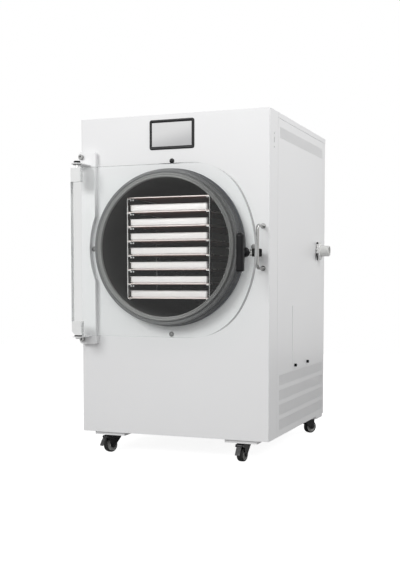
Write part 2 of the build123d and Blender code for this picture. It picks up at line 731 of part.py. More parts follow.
def hinge_bushes():
    """The washer under the upper lug and the bush that the door rests on."""
    radius, thick = TOP_WASHER
    washer = along_z(PIN_X, PIN_Y, radius, TOP_LUG_Z - thick, TOP_LUG_Z)
    low = lower_lug_z() + LUG_THICK
    bush = along_z(PIN_X, PIN_Y, BUSH_R, low, low + BUSH_HEIGHT)
    hole = along_z(PIN_X, PIN_Y, PIN_R + FIT, low - 1, TOP_LUG_Z + 1)
    return [washer - hole, bush - hole]


def hinge_bolts():
    """Socket-head bolts through the bracket's ears into nuts behind the front panel."""
    bolts = []
    radius, height = BOLT_HEAD
    front = -BRACKET_DEPTH
    for z in bolt_heights():
        head = along_y(BOLT_X, z, radius, front - height, front)
        head = chamfer(head.edges().group_by(Axis.Y)[0], 1)
        with BuildSketch(Plane(origin=(BOLT_X, front - height, z), x_dir=(1, 0, 0), z_dir=(0, 1, 0))) as socket:
            RegularPolygon(4.6, 6)
        bolt = head + along_y(BOLT_X, z, BOLT_R, front, SHEET + 8)
        bolt += along_y(BOLT_X, z, BOLT_R + 2, SHEET, SHEET + 6)
        bolts.append(bolt - extrude(socket.sketch, 5))
    return bolts


# Latch


def latch_hub():
    """The domed bearing on the door's front that the shaft turns in."""
    hub = along_y(*LATCH, HUB_R, HUB_FRONT, DOOR_FRONT)
    hub = fillet(hub.edges().group_by(Axis.Y)[0], 5)
    return hub - along_y(*LATCH, SHAFT_R + FIT, HUB_FRONT - 1, DOOR_FRONT + 1)


def latch_lever():
    x, z = LATCH
    half = LEVER_WIDTH / 2
    bar = block((x - half, x + half), LEVER_Y, (z - LEVER_DOWN, z + LEVER_UP))
    bar = fillet(upright_edges(bar, Axis.Y).group_by(Axis.Z)[-1], half - 0.5)
    bar = fillet(upright_edges(bar, Axis.Y).group_by(Axis.Z)[0], 4)
    bar = fillet(upright_edges(bar), 5)
    neck = along_y(x, z, half - 1, LEVER_Y[1] - 1, HUB_FRONT - 0.5)
    return bar + neck - along_y(x, z, SHAFT_R + FIT / 2, LEVER_Y[1] - 6, HUB_FRONT)


def arm_front():
    """Y of the latch pad's front face, just behind the keeper's rod."""
    return KEEPER_FRONT + KEEPER_R + KEEPER_GAP


def latch_arm():
    """The shaft and, behind the door, the flat arm that reaches behind the keeper."""
    x, z = LATCH
    front, back = arm_front() + PAD_WALL, arm_front() + PAD_DEPTH - PAD_WALL
    shaft = along_y(x, z, SHAFT_R, LEVER_Y[1] - 5, back)
    half = ARM_HEIGHT / 2
    arm = block((x, ARM_END), (front, back), (z - half, z + half))
    arm += along_y(x, z, half, front, back)
    arm += along_y(x, z, half - 0.5, DOOR_BACK + 0.5, front)
    return shaft + arm


def latch_pad():
    z = LATCH[1]
    half = ARM_HEIGHT / 2
    front, back = arm_front(), arm_front() + PAD_DEPTH
    pad = block(PAD_X, (front, back), (z - PAD_HALF, z + PAD_HALF))
    pad = fillet(upright_edges(pad, Axis.Y).group_by(Axis.X)[-1], 4)
    return pad - block((PAD_X[0] - 1, ARM_END), (front + PAD_WALL, back - PAD_WALL), (z - half, z + half))


def latch_keeper():
    """A bent rod whose two legs pass through the front panel into nuts."""
    low, high = KEEPER_Z
    ends = [(KEEPER_X, SHEET + 8, low), (KEEPER_X, KEEPER_FRONT, low),
            (KEEPER_X, KEEPER_FRONT, high), (KEEPER_X, SHEET + 8, high)]
    path = FilletPolyline(*ends, radius=KEEPER_BEND)
    keeper = sweep(Plane(origin=ends[0], z_dir=(0, -1, 0)) * Circle(KEEPER_R), path)
    for z in KEEPER_Z:
        keeper += along_y(KEEPER_X, z, KEEPER_R + 4, -2.5, 0)
        keeper += along_y(KEEPER_X, z, KEEPER_R + 3, SHEET, SHEET + 6)
    return keeper


# Fittings on the panels


def panel_caps():
    caps = []
    for x, z in cap_places():
        cap = along_y(x, z, CAP_R, -4, 0)
        cap = fillet(cap.edges().group_by(Axis.Y)[0], 1.5)
        cap += along_y(x, z, 4, 0, SHEET + DRUM_FLANGE + 8)
        caps.append(cap + along_y(x, z, NUT_R, SHEET + DRUM_FLANGE, SHEET + DRUM_FLANGE + 5))
    return caps


def centred(width, height, z):
    return (-width / 2, width / 2), (z - height / 2, z + height / 2)


def screen_bezel():
    x, z = centred(*SCREEN, SCREEN_Z)
    frame = fillet(upright_edges(block(x, (-SCREEN_PROUD, 0), z), Axis.Y), 8)
    x, z = centred(SCREEN[0] - 8 - 2 * FIT, SCREEN[1] - 8 - 2 * FIT, SCREEN_Z)
    frame += block(x, (0, HOUSING_BACK), z)
    x, z = centred(*GLASS, SCREEN_Z)
    return frame - block(x, (-SCREEN_PROUD - 1, 3), z)


def screen_glass():
    x, z = centred(GLASS[0] - 0.2, GLASS[1] - 0.2, SCREEN_Z)
    return block(x, (-SCREEN_PROUD + 1, 3), z)


def service_port():
    """A flush socket with a slot, held by two small screws."""
    y, z = SERVICE_Y, SERVICE_Z
    body = block((SIDE_X - 13, SIDE_X - SHEET), (y - 9, y + 9), (z - 30, z + 30))
    body += block((SIDE_X - SHEET, SIDE_X), (y - 6 + FIT, y + 6 - FIT), (z - 12 + FIT, z + 12 - FIT))
    body -= block((SIDE_X - 10, SIDE_X + 1), (y - 3, y + 3), (z - 9, z + 9))
    for dz in (-22.5, 22.5):
        body += along_x(y, z + dz, 2, SIDE_X - SHEET, SIDE_X + 0.5)
        body += along_x(y, z + dz, 3.5, SIDE_X, SIDE_X + 1.5)
    return body


def thumb_places():
    dy, dz = THUMB_INSET
    return [(COVER_Y[0] + dy, COVER_Z[0] + dz), (COVER_Y[1] - dy, COVER_Z[0] + dz)]


def side_access_cover():
    cover = block((SIDE_X, SIDE_X + COVER_THICK), COVER_Y, COVER_Z)
    cover = fillet(upright_edges(cover, Axis.X), 3)
    for y, z in thumb_places():
        cover -= along_x(y, z, 2.5 + FIT, SIDE_X - 1, SIDE_X + COVER_THICK + 1)
    return cover


def cover_thumb_screws():
    face = SIDE_X + COVER_THICK
    screws = []
    for y, z in thumb_places():
        head = along_x(y, z, THUMB_R, face, face + 9)
        head = fillet(head.edges().group_by(Axis.X)[-1], 1.5)
        screws.append(head + along_x(y, z, 2.5, SIDE_X - 10, face))
    return screws


# Vacuum line


def vacuum_pipe():
    """The pipe from the drum's back to the flange outside the right side panel."""
    start = DRUM_BACK + DRUM_DISH
    end = SIDE_X + PORT_STAND
    path = FilletPolyline((0, start, PORT_Z), (0, PORT_Y, PORT_Z), (end, PORT_Y, PORT_Z), radius=PIPE_BEND)
    mouth = Plane(origin=(0, start, PORT_Z), z_dir=(0, 1, 0))
    pipe = sweep(mouth * (Circle(PIPE_R - PIPE_GAP) - Circle(PIPE_R - PIPE_WALL)), path)
    flange = along_x(PORT_Y, PORT_Z, PORT_FLANGE_R, end, end + PORT_FLANGE)
    flange -= along_x(PORT_Y, PORT_Z, PIPE_R - PIPE_WALL, end - 1, end + PORT_FLANGE + 1)
    return pipe + flange


def port_adapter():
    face = SIDE_X + PORT_STAND + PORT_FLANGE
    adapter = along_x(PORT_Y, PORT_Z, PORT_FLANGE_R, face, face + PORT_FLANGE)
    adapter += along_x(PORT_Y, PORT_Z, ADAPTER_R, face, PORT_END)
    adapter = chamfer(adapter.edges().group_by(Axis.X)[-1], 1)
    return adapter - along_x(PORT_Y, PORT_Z, PIPE_R - PIPE_WALL, face - 1, PORT_END + 1)


def port_clamp():
    """The hinged ring that holds the two port flanges, with its ball-ended bolt and wing nut."""
    x0 = SIDE_X + CLAMP_GAP
    x1 = SIDE_X + 2 * PORT_STAND + 2 * PORT_FLANGE - CLAMP_GAP
    middle = (x0 + x1) / 2
    outer = PORT_FLANGE_R + CLAMP_WALL
    reach, height = CLAMP_EAR
    front = PORT_Y - outer
    ring = along_x(PORT_Y, PORT_Z, outer, x0, x1)
    ring = chamfer(ring.edges().filter_by(GeomType.CIRCLE), 1.5)
    ring += block((x0, x1), (front - reach + 3, front + 3), (PORT_Z - height / 2, PORT_Z + height / 2))
    ring += along_x(PORT_Y + outer, PORT_Z, WING_HUB[0], x0, x1)
    ring -= along_x(PORT_Y, PORT_Z, ADAPTER_R + 0.6, x0 - 1, x1 + 1)
    ring -= along_x(PORT_Y, PORT_Z, PORT_FLANGE_R + 0.3, SIDE_X + PORT_STAND - 0.3,
                    SIDE_X + PORT_STAND + 2 * PORT_FLANGE + 0.3)
    ring -= block((x0 - 1, x1 + 1), (front - reach, PORT_Y - ADAPTER_R),
                  (PORT_Z - CLAMP_SPLIT / 2, PORT_Z + CLAMP_SPLIT / 2))
    bolt_y = front - reach / 2 + 1.5
    radius, above, below = CLAMP_BOLT
    bolt = along_z(middle, bolt_y, radius, PORT_Z - below, PORT_Z + above)
    bolt += Pos(middle, bolt_y, PORT_Z + above) * Sphere(CLAMP_BALL)
    return ring + bolt + wing_nut(middle, bolt_y, PORT_Z - height / 2)


def wing_nut(x, y, top):
    """A wing nut on an upright bolt: a round hub and one blade that narrows downwards."""
    radius, height = WING_HUB
    wide, narrow, length, thick = WING
    blade = Polyline((-wide / 2, 0), (wide / 2, 0), (narrow / 2, -length), (-narrow / 2, -length), close=True)
    face = Plane(origin=(x - thick / 2, y, top - height / 2), x_dir=(0, 1, 0), z_dir=(1, 0, 0)) * make_face(blade)
    return along_z(x, y, radius, top - height, top) + extrude(face, thick)


# Refrigeration and power


def compressor():
    """A hermetic compressor: a domed can on a foot plate with four rubber-mounted corners."""
    x, y = COMPRESSOR
    low = FLOOR_TOP + FOOT_RISE
    can = along_z(x, y, COMPRESSOR_R, low + 3, low + COMPRESSOR_HEIGHT)
    can = fillet(can.edges().group_by(Axis.Z)[-1], 35)
    half = COMPRESSOR_R + 12
    plate = block((x - half, x + half), (y - half, y + half), (low, low + 3))
    body = can + fillet(upright_edges(plate), 12)
    for sx in (-1, 1):
        for sy in (-1, 1):
            body += along_z(x + sx * (half - 14), y + sy * (half - 14), 10, FLOOR_TOP, low)
    return body


def condenser():
    """Finned coil block with its fan plate, facing the vents in the back panel."""
    width, depth, height = CONDENSER
    y1 = REAR_Y - CONDENSER_GAP
    y0 = y1 - depth - 40
    x = (FAN_X - width / 2, FAN_X + width / 2)
    z = (CONDENSER_Z, CONDENSER_Z + height)
    block_ = block(x, (y0, y0 + depth), z)
    shroud = block(x, (y0 + depth, y1), z) - block((x[0] + 2, x[1] - 2), (y0 + depth, y1 - 2), (z[0] + 2, z[1] - 2))
    shroud -= along_y(FAN_X, FAN_Z, FAN_R + FAN_FIT, y0 + depth, y1 + 1)
    feet = block(x, (y0, y1), (FLOOR_TOP, z[0]))
    feet -= block((x[0] + 30, x[1] - 30), (y0 - 1, y1 + 1), (FLOOR_TOP - 1, z[0] + 1))
    motor = along_y(FAN_X, FAN_Z, FAN_HUB_R, y0 + depth, y0 + depth + 12)
    motor += along_y(FAN_X, FAN_Z, 4, y0 + depth + 12, y1 - 4)
    return block_ + shroud + feet + motor


def fan_blades():
    width, depth, height = CONDENSER
    y1 = REAR_Y - CONDENSER_GAP
    hub = along_y(FAN_X, FAN_Z, FAN_HUB_R, y1 - 24, y1 - 6)
    blade = block((-14, 14), (-1, 1), (FAN_HUB_R - 3, FAN_R - 2))
    for i in range(FAN_BLADES):
        turn = Pos(FAN_X, y1 - 15, FAN_Z) * Rot(0, 360 / FAN_BLADES * i, 0) * Rot(0, 0, 28)
        hub += turn * blade
    return hub - along_y(FAN_X, FAN_Z, 4 + FIT, y1 - 30, y1)


def power_inlet():
    """The appliance inlet in the back panel, with its flange, recess and three blades."""
    x, z = INLET
    w, h = INLET_SIZE
    face = REAR_Y + SHEET
    body = block((x - w / 2 - 5, x + w / 2 + 5), (face, face + 2), (z - h / 2 - 5, z + h / 2 + 5))
    body = fillet(upright_edges(body, Axis.Y), 3)
    body += block((x - w / 2 + FIT, x + w / 2 - FIT), (REAR_Y - 28, face), (z - h / 2 + FIT, z + h / 2 - FIT))
    body -= block((x - 14, x + 14), (face - 16, face + 3), (z - 9, z + 9))
    for dx, dz in ((-7, 2), (0, -2), (7, 2)):
        body += block((x + dx - 1, x + dx + 1), (face - 17, face - 3), (z + dz - 3, z + dz + 3))
    return body


save("front_panel", front_panel())
save("top_cover", top_cover())
save("left_side_panel", left_side_panel())
save("right_side_panel", right_side_panel())
save("rear_panel", rear_panel())
save("base_pan", base_pan())
save("chassis_frame", *chassis_frame())
save("caster_plates", *caster_plates())
save("caster_stems", *caster_stems())
save_casters()
save("chamber_drum", chamber_drum())
save("neck_collar", neck_collar())
save("door_gasket", door_gasket())
save("drum_insulation", drum_insulation())
save("evaporator_coil", evaporator_coil())
save("drum_cradles", *drum_cradles())
save("rack_posts", *rack_posts())
save("shelf_plates", *shelf_plates())
save("heater_pads", *heater_pads())
for number in range(SHELF_COUNT - 1):
    save(f"tray_{number + 1}", tray(number))
save("door_plate", door_plate())
save("hinge_blocks", *hinge_blocks())
save("hinge_bracket", hinge_bracket())
save("hinge_pins", *hinge_pins())
save("pin_caps", *pin_caps())
save("hinge_bushes", *hinge_bushes())
save("hinge_bolts", *hinge_bolts())
save("latch_hub", latch_hub())
save("latch_lever", latch_lever())
save("latch_arm", latch_arm())
save("latch_pad", latch_pad())
save("latch_keeper", latch_keeper())
save("panel_caps", *panel_caps())
save("screen_bezel", screen_bezel())
save("screen_glass", screen_glass())
save("service_port", service_port())
save("side_access_cover", side_access_cover())
save("cover_thumb_screws", *cover_thumb_screws())
save("vacuum_pipe", vacuum_pipe())
save("port_adapter", port_adapter())
save("port_clamp", port_clamp())
save("compressor", compressor())
save("condenser", condenser())
save("fan_blades", fan_blades())
save("power_inlet", power_inlet())
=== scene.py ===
import json
import math

import bmesh
import bpy
import numpy as np
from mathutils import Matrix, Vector


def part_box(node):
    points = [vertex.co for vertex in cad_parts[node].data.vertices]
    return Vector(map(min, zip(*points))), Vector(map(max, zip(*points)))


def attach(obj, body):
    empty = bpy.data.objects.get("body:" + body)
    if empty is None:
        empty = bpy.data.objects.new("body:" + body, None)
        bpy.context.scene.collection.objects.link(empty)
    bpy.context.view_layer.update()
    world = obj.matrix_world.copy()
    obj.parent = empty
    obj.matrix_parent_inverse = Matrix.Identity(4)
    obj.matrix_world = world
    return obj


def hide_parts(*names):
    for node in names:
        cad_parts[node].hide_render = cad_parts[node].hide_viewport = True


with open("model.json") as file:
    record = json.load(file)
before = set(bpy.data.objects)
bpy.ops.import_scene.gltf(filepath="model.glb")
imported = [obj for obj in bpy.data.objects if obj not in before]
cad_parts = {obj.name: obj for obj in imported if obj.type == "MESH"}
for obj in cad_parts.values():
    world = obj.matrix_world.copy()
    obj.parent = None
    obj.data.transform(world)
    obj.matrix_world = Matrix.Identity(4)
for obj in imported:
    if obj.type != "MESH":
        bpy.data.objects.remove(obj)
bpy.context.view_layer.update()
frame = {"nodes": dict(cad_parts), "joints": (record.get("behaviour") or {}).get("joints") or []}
cad = frame["nodes"]
print("frame loaded:", len(cad), "CAD nodes")


# reading places from the frame

def boxOf(node):
    low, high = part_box(node)
    return np.array(low), np.array(high)


def middleOf(node):
    low, high = boxOf(node)
    return (low + high) / 2


def jointNamed(name):
    return next(joint for joint in frame["joints"] if joint["name"] == name)


panelFace = boxOf("neck_collar")[1][1]  # Y of the front panel's outer face
chamberAxis = np.array([middleOf("neck_collar")[0], panelFace, middleOf("neck_collar")[2]])
acrossX, acrossY, acrossZ = np.eye(3)


# surfaces as arrays

def gridFaces(rows, columns, wrapRows=False, wrapColumns=False):
    # quad (i, j) joins the grid points (i, j), (i+1, j), (i+1, j+1) and (i, j+1)
    i, j = np.meshgrid(
        np.arange(rows if wrapRows else rows - 1),
        np.arange(columns if wrapColumns else columns - 1),
        indexing="ij",
    )
    nextI, nextJ = (i + 1) % rows, (j + 1) % columns
    corners = [i * columns + j, nextI * columns + j, nextI * columns + nextJ, i * columns + nextJ]
    return np.stack(corners, -1).reshape(-1, 4)


def roundCorners(points, reach, count=5):
    # each corner C of a closed outline becomes (1-t)^2 A + 2t(1-t) C + t^2 B, where A and B lie
    # `reach` away from C along its two sides
    corner = np.asarray(points, float)
    back, ahead = np.roll(corner, 1, 0) - corner, np.roll(corner, -1, 0) - corner
    backLength = np.linalg.norm(back, axis=1, keepdims=True)
    aheadLength = np.linalg.norm(ahead, axis=1, keepdims=True)
    reach = np.broadcast_to(np.reshape(reach, (-1, 1)), backLength.shape)
    reach = np.minimum(reach, 0.49 * np.minimum(backLength, aheadLength))
    a, b = corner + back / backLength * reach, corner + ahead / aheadLength * reach
    t = np.linspace(0, 1, count)[None, :, None]
    arcs = (1 - t) ** 2 * a[:, None] + 2 * t * (1 - t) * corner[:, None] + t**2 * b[:, None]
    return arcs.reshape(-1, 2)


def roundedBox(width, height, radius, steps=8):
    # quarter circles of the given radius about the four corner centres, as one closed outline
    angle = np.linspace(0, math.pi / 2, steps)
    turn = np.arange(4)[:, None] * math.pi / 2 + angle
    signs = np.array([[1, 1], [-1, 1], [-1, -1], [1, -1]])[:, None]
    centre = signs * (np.array([width, height]) / 2 - radius)
    return (centre + radius * np.stack([np.cos(turn), np.sin(turn)], -1)).reshape(-1, 2)


def turned(outline, centre, axis, steps=128, closed=True):
    # the outline's point at radius r and height h, at angle t, is centre + h*axis + r*(cos t*u + sin t*v)
    axis = np.asarray(axis, float) / np.linalg.norm(axis)
    u = np.cross(axis, acrossZ if abs(axis[2]) < 0.9 else acrossX)
    u /= np.linalg.norm(u)
    v = np.cross(axis, u)
    outline = np.asarray(outline, float)
    t = np.linspace(0, 2 * math.pi, steps, endpoint=False)[:, None, None]
    radius, height = outline[None, :, :1], outline[None, :, 1:]
    points = centre + height * axis + radius * (np.cos(t) * u + np.sin(t) * v)
    return points.reshape(-1, 3), gridFaces(steps, len(outline), True, closed).tolist()


def ringed(rings, origin, u, v, h, closed=False):
    # each ring is (outline, height) with as many points as the others: the outline's point (a, b) lies at
    # origin + a*u + b*v + height*h, neighbouring rings are joined by quads, and open ends get flat faces
    outlines = np.stack([outline for outline, _ in rings])
    heights = np.array([height for _, height in rings])[:, None, None]
    points = origin + outlines[..., :1] * u + outlines[..., 1:] * v + heights * h
    rows, columns = outlines.shape[:2]
    faces = gridFaces(rows, columns, closed, True).tolist()
    if not closed:
        faces += [list(range(columns))[::-1], list(range((rows - 1) * columns, rows * columns))]
    return points.reshape(-1, 3), faces


def makePiece(name, shells, materials, body, replaced=(), sharp=35.0):
    # shells are (points, faces) or (points, faces, material number)
    points, faces, numbers = [], [], []
    for shell in shells:
        start = sum(len(p) for p in points)
        points.append(shell[0])
        faces += [[start + i for i in face] for face in shell[1]]
        numbers += [shell[2] if len(shell) > 2 else 0] * len(shell[1])
    mesh = bpy.data.meshes.new(name)
    mesh.from_pydata(np.concatenate(points).tolist(), [], faces)
    mesh.polygons.foreach_set("material_index", numbers)
    work = bmesh.new()
    work.from_mesh(mesh)
    bmesh.ops.remove_doubles(work, verts=work.verts, dist=1e-6)
    bmesh.ops.recalc_face_normals(work, faces=work.faces)
    work.to_mesh(mesh)
    work.free()
    mesh.shade_smooth()
    mesh.set_sharp_from_angle(angle=math.radians(sharp))
    for material in materials:
        mesh.materials.append(material)
    piece = bpy.data.objects.new(name, mesh)
    bpy.context.scene.collection.objects.link(piece)
    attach(piece, body)
    if replaced:
        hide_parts(*replaced)
    return piece


# finishes

finishes = {
    # grain is the size of the fine relief and relief its height; patch is the size of the slow variation and vary its
    # strength; rings runs the grain round the chamber's axis; the painted-shade level is what the colour is multiplied
    # by at the far end of the painted-shade span, a painted shade that darkens the part towards +X, away from the key
    # lamp
    "powderWhite": dict(colour=(0.84, 0.84, 0.845), roughness=(0.36, 0.44), grain=0.0011, relief=0.000012,
                        patch=0.25, vary=0.008, coat=0.12),
    # painted light: a lighter copy of the white paint, for the hinge bracket behind the acrylic and in the hinge's
    # shadow, and for the notch strip
    "bracketPaintedLightWhite": dict(colour=(0.9, 0.9, 0.905), roughness=(0.3, 0.38), grain=0.001, relief=0.00001,
                         patch=0.12, vary=0.01, coat=0.2),
    "zincSteel": dict(colour=(0.5, 0.5, 0.49), metallic=0.9, roughness=(0.34, 0.5), grain=0.004, relief=0.00001,
                      patch=0.03, vary=0.08),
    "polishedSteel": dict(colour=(0.72, 0.72, 0.71), metallic=1.0, roughness=(0.14, 0.24), grain=0.0006,
                          relief=0.000004, patch=0.05, vary=0.04, stretch=(1, 1, 14)),
    # painted shade and reflection: a darker copy of the polished steel, for steel that takes less light, on the keeper,
    # the hinge bolts and the rack posts other than the front left one
    "shadedSteel": dict(colour=(0.36, 0.36, 0.355), metallic=1.0, roughness=(0.12, 0.22), grain=0.0006,
                        relief=0.000004, patch=0.05, vary=0.05, stretch=(1, 1, 14)),
    "shelfSteel": dict(colour=(0.74, 0.66, 0.63), metallic=0.75, roughness=(0.2, 0.34), grain=0.0007,
                       relief=0.000006, patch=0.06, vary=0.05, stretch=(0.06, 1, 1)),
    # painted shade: the pans darken over their right ends, where the key light doesn't reach
    "panSteel": dict(colour=(0.735, 0.706, 0.697), metallic=0.3, roughness=(0.36, 0.48), grain=0.0008,
                     relief=0.000006, patch=0.05, vary=0.03, stretch=(0.05, 1, 1), paintedShadeLevel=0.16,
                     paintedShadeSpan=(0.1385, 0.1458)),
    # painted shade: the drum darkens towards its right wall, which the key light doesn't reach
    "drumDark": dict(colour=(0.052, 0.052, 0.051), roughness=(0.42, 0.52), specular=0.12, grain=0.0016,
                     relief=0.000002, patch=0.2, vary=0.08, rings=True, paintedShadeLevel=0.3),
    "collarGrey": dict(colour=(0.04, 0.043, 0.053), roughness=(0.34, 0.44), specular=0.35, grain=0.0009, relief=0.00002,
                       patch=0.04, vary=0.08, rings=True),
    # painted shade and reflection: the collar's nose and the gasket's lip below darken towards their right side, away
    # from the key lamp
    "noseGrey": dict(colour=(0.15, 0.151, 0.153), roughness=(0.36, 0.46), specular=0.35, grain=0.0009,
                     relief=0.00002, patch=0.04, vary=0.05, rings=True, paintedShadeLevel=0.38),
    "lipGrey": dict(colour=(0.225, 0.225, 0.22), roughness=(0.42, 0.55), specular=0.4, grain=0.001, relief=0.00002,
                    patch=0.05, vary=0.04, rings=True, paintedShadeLevel=0.52),
    "foamBlack": dict(colour=(0.022, 0.022, 0.022), roughness=(0.85, 0.95), grain=0.002, relief=0.0004,
                      patch=0.05, vary=0.15),
    "coilCopper": dict(colour=(0.7, 0.36, 0.22), metallic=1.0, roughness=(0.22, 0.4), grain=0.003, relief=0.00001,
                       patch=0.02, vary=0.12),
    "heaterRed": dict(colour=(0.16, 0.055, 0.045), roughness=(0.5, 0.62), grain=0.0016, relief=0.00005, patch=0.03,
                      vary=0.1),
    "nylonBlack": dict(colour=(0.01, 0.01, 0.011), roughness=(0.34, 0.46), specular=0.2, grain=0.0008,
                       relief=0.00002, patch=0.02, vary=0.15),
    "forkBlack": dict(colour=(0.008, 0.008, 0.009), roughness=(0.14, 0.26), specular=0.55, grain=0.0012,
                      relief=0.00003, patch=0.02, vary=0.15),
    "pedalBlack": dict(colour=(0.035, 0.035, 0.036), roughness=(0.3, 0.42), grain=0.0008, relief=0.00003,
                       patch=0.02, vary=0.15),
    "padBlack": dict(colour=(0.008, 0.008, 0.008), roughness=(0.7, 0.8), specular=0.04, grain=0.0008, relief=0.00001,
                     patch=0.01, vary=0.05),
    "gripBlack": dict(colour=(0.009, 0.009, 0.01), roughness=(0.28, 0.4), specular=0.14, grain=0.0009, relief=0.00003,
                      patch=0.02, vary=0.12),
    "tyreBlack": dict(colour=(0.016, 0.016, 0.016), roughness=(0.5, 0.66), grain=0.0009, relief=0.00004, patch=0.015,
                      vary=0.15),
    "rimGrey": dict(colour=(0.5, 0.5, 0.49), roughness=(0.36, 0.48), grain=0.0008, relief=0.00002, patch=0.02,
                    vary=0.08),
    "blockPale": dict(colour=(0.8, 0.805, 0.8), roughness=(0.3, 0.4), grain=0.0008, relief=0.00001, patch=0.02,
                      vary=0.03),
    "washerGrey": dict(colour=(0.3, 0.3, 0.3), roughness=(0.4, 0.5), grain=0.0008, relief=0.00001, patch=0.01,
                       vary=0.06),
    "portNylon": dict(colour=(0.84, 0.84, 0.825), roughness=(0.4, 0.5), grain=0.0012, relief=0.00002, patch=0.02,
                      vary=0.03),
    "enamelBlack": dict(colour=(0.02, 0.02, 0.022), roughness=(0.22, 0.34), grain=0.002, relief=0.00003, patch=0.06,
                        vary=0.1, coat=0.4),
    "finAluminium": dict(colour=(0.62, 0.63, 0.64), metallic=0.95, roughness=(0.3, 0.42), grain=0.0022,
                         relief=0.0004, patch=0.05, vary=0.06, stretch=(1, 0.02, 0.02)),
    "capGrey": dict(colour=(0.2, 0.2, 0.2), roughness=(0.3, 0.4), grain=0.0008, relief=0.00002, patch=0.01,
                    vary=0.06),
    "frameBlack": dict(colour=(0.013, 0.013, 0.014), roughness=(0.3, 0.4), specular=0.18, grain=0.0007, relief=0.00001,
                       patch=0.02, vary=0.08),
    "clampPale": dict(colour=(0.82, 0.82, 0.815), roughness=(0.36, 0.48), grain=0.0012, relief=0.00001,
                      patch=0.02, vary=0.04),
}


# what a finish has when its own line doesn't say
finishDefaults = {"metallic": 0.0, "specular": 0.5, "coat": 0.0, "coatRoughness": 0.12, "stretch": (1, 1, 1),
                  "rings": False, "glossRange": (0.3, 0.7), "paintedShadeSpan": (0.02, 0.20)}


def startMaterial(name):
    material = bpy.data.materials.new(name)
    material.use_nodes = True
    nodes, links = material.node_tree.nodes, material.node_tree.links
    return material, nodes, links, nodes["Principled BSDF"]


def addMath(nodes, operation, *values):
    # a Math node, with `values` in its second and third inputs
    node = nodes.new("ShaderNodeMath")
    node.operation = operation
    for number, value in enumerate(values, 1):
        node.inputs[number].default_value = value
    return node


def makeFinish(name, look):
    look = {**finishDefaults, **look}
    material, nodes, links, shader = startMaterial(name)
    shader.inputs["Metallic"].default_value = look["metallic"]
    shader.inputs["Specular IOR Level"].default_value = look["specular"]
    shader.inputs["Coat Weight"].default_value = look["coat"]
    shader.inputs["Coat Roughness"].default_value = look["coatRoughness"]
    place = nodes.new("ShaderNodeTexCoord").outputs["Object"]
    if look["rings"]:
        place = aboutChamber(nodes, links, place)
    mapping = nodes.new("ShaderNodeMapping")
    mapping.inputs["Scale"].default_value = look["stretch"]
    links.new(place, mapping.inputs["Vector"])
    place = mapping.outputs["Vector"]

    grain = nodes.new("ShaderNodeTexNoise")
    grain.inputs["Scale"].default_value = 1 / look["grain"]
    grain.inputs["Detail"].default_value = 3
    links.new(place, grain.inputs["Vector"])
    bump = nodes.new("ShaderNodeBump")
    bump.inputs["Distance"].default_value = look["relief"]
    links.new(grain.outputs["Fac"], bump.inputs["Height"])
    links.new(bump.outputs["Normal"], shader.inputs["Normal"])

    patch = nodes.new("ShaderNodeTexNoise")
    patch.inputs["Scale"].default_value = 1 / look["patch"]
    patch.inputs["Detail"].default_value = 4
    links.new(place, patch.inputs["Vector"])
    tint = nodes.new("ShaderNodeMix")
    tint.data_type = "RGBA"
    base, vary = np.array(look["colour"]), look["vary"]
    tint.inputs["A"].default_value = (*(base * (1 - vary)), 1)
    tint.inputs["B"].default_value = (*(base * (1 + vary)), 1)
    links.new(patch.outputs["Fac"], tint.inputs["Factor"])
    shade = tint.outputs["Result"]
    if "paintedShadeLevel" in look:
        shade = addPaintedShade(nodes, links, shade, look["paintedShadeLevel"], look["paintedShadeSpan"])
    links.new(shade, shader.inputs["Base Color"])

    gloss = nodes.new("ShaderNodeMapRange")
    gloss.inputs["From Min"].default_value, gloss.inputs["From Max"].default_value = look["glossRange"]
    gloss.inputs["To Min"].default_value, gloss.inputs["To Max"].default_value = look["roughness"]
    links.new(patch.outputs["Fac"], gloss.inputs["Value"])
    links.new(gloss.outputs["Result"], shader.inputs["Roughness"])
    return material


def addPaintedShade(nodes, links, shade, paintedShadeLevel, span):
    # painted shade, darker towards +X: the colour is multiplied by a grey that falls from 1 to the given level over a
    # span of X from the chamber's axis
    place = nodes.new("ShaderNodeTexCoord")
    parts = nodes.new("ShaderNodeSeparateXYZ")
    level = nodes.new("ShaderNodeMapRange")
    level.interpolation_type = "SMOOTHSTEP"
    level.inputs["From Min"].default_value = chamberAxis[0] + span[0]
    level.inputs["From Max"].default_value = chamberAxis[0] + span[1]
    level.inputs["To Min"].default_value, level.inputs["To Max"].default_value = 1.0, paintedShadeLevel
    scaled = nodes.new("ShaderNodeVectorMath")
    scaled.operation = "SCALE"
    links.new(place.outputs["Object"], parts.inputs["Vector"])
    links.new(parts.outputs["X"], level.inputs["Value"])
    links.new(shade, scaled.inputs[0])
    links.new(level.outputs["Result"], scaled.inputs["Scale"])
    return scaled.outputs["Vector"]


def aboutChamber(nodes, links, place):
    # turns a place into (distance from the chamber's axis, depth, 0), so that grain runs in rings
    shift = nodes.new("ShaderNodeMapping")
    shift.inputs["Location"].default_value = (-chamberAxis[0], 0, -chamberAxis[2])
    parts = nodes.new("ShaderNodeSeparateXYZ")
    flat = nodes.new("ShaderNodeVectorMath")
    flat.operation = "MULTIPLY"
    flat.inputs[1].default_value = (1, 0, 1)
    radius = nodes.new("ShaderNodeVectorMath")
    radius.operation = "LENGTH"
    joined = nodes.new("ShaderNodeCombineXYZ")
    links.new(place, shift.inputs["Vector"])
    links.new(shift.outputs["Vector"], parts.inputs["Vector"])
    links.new(shift.outputs["Vector"], flat.inputs[0])
    links.new(flat.outputs["Vector"], radius.inputs[0])
    links.new(radius.outputs["Value"], joined.inputs["X"])
    links.new(parts.outputs["Y"], joined.inputs["Y"])
    return joined.outputs["Vector"]


finish = {name: makeFinish(name, look) for name, look in finishes.items()}

acrylicLook = {
    # the index is below acrylic's own 1.49, so that what lies behind the thick plate stays light
    "tint": (0.985, 0.993, 0.99), "edge": (0.5, 0.51, 0.51), "edgeTurn": (0.3, 0.6), "edgeFrost": 0.7,
    "index": 1.3, "roughness": 0.0,
}


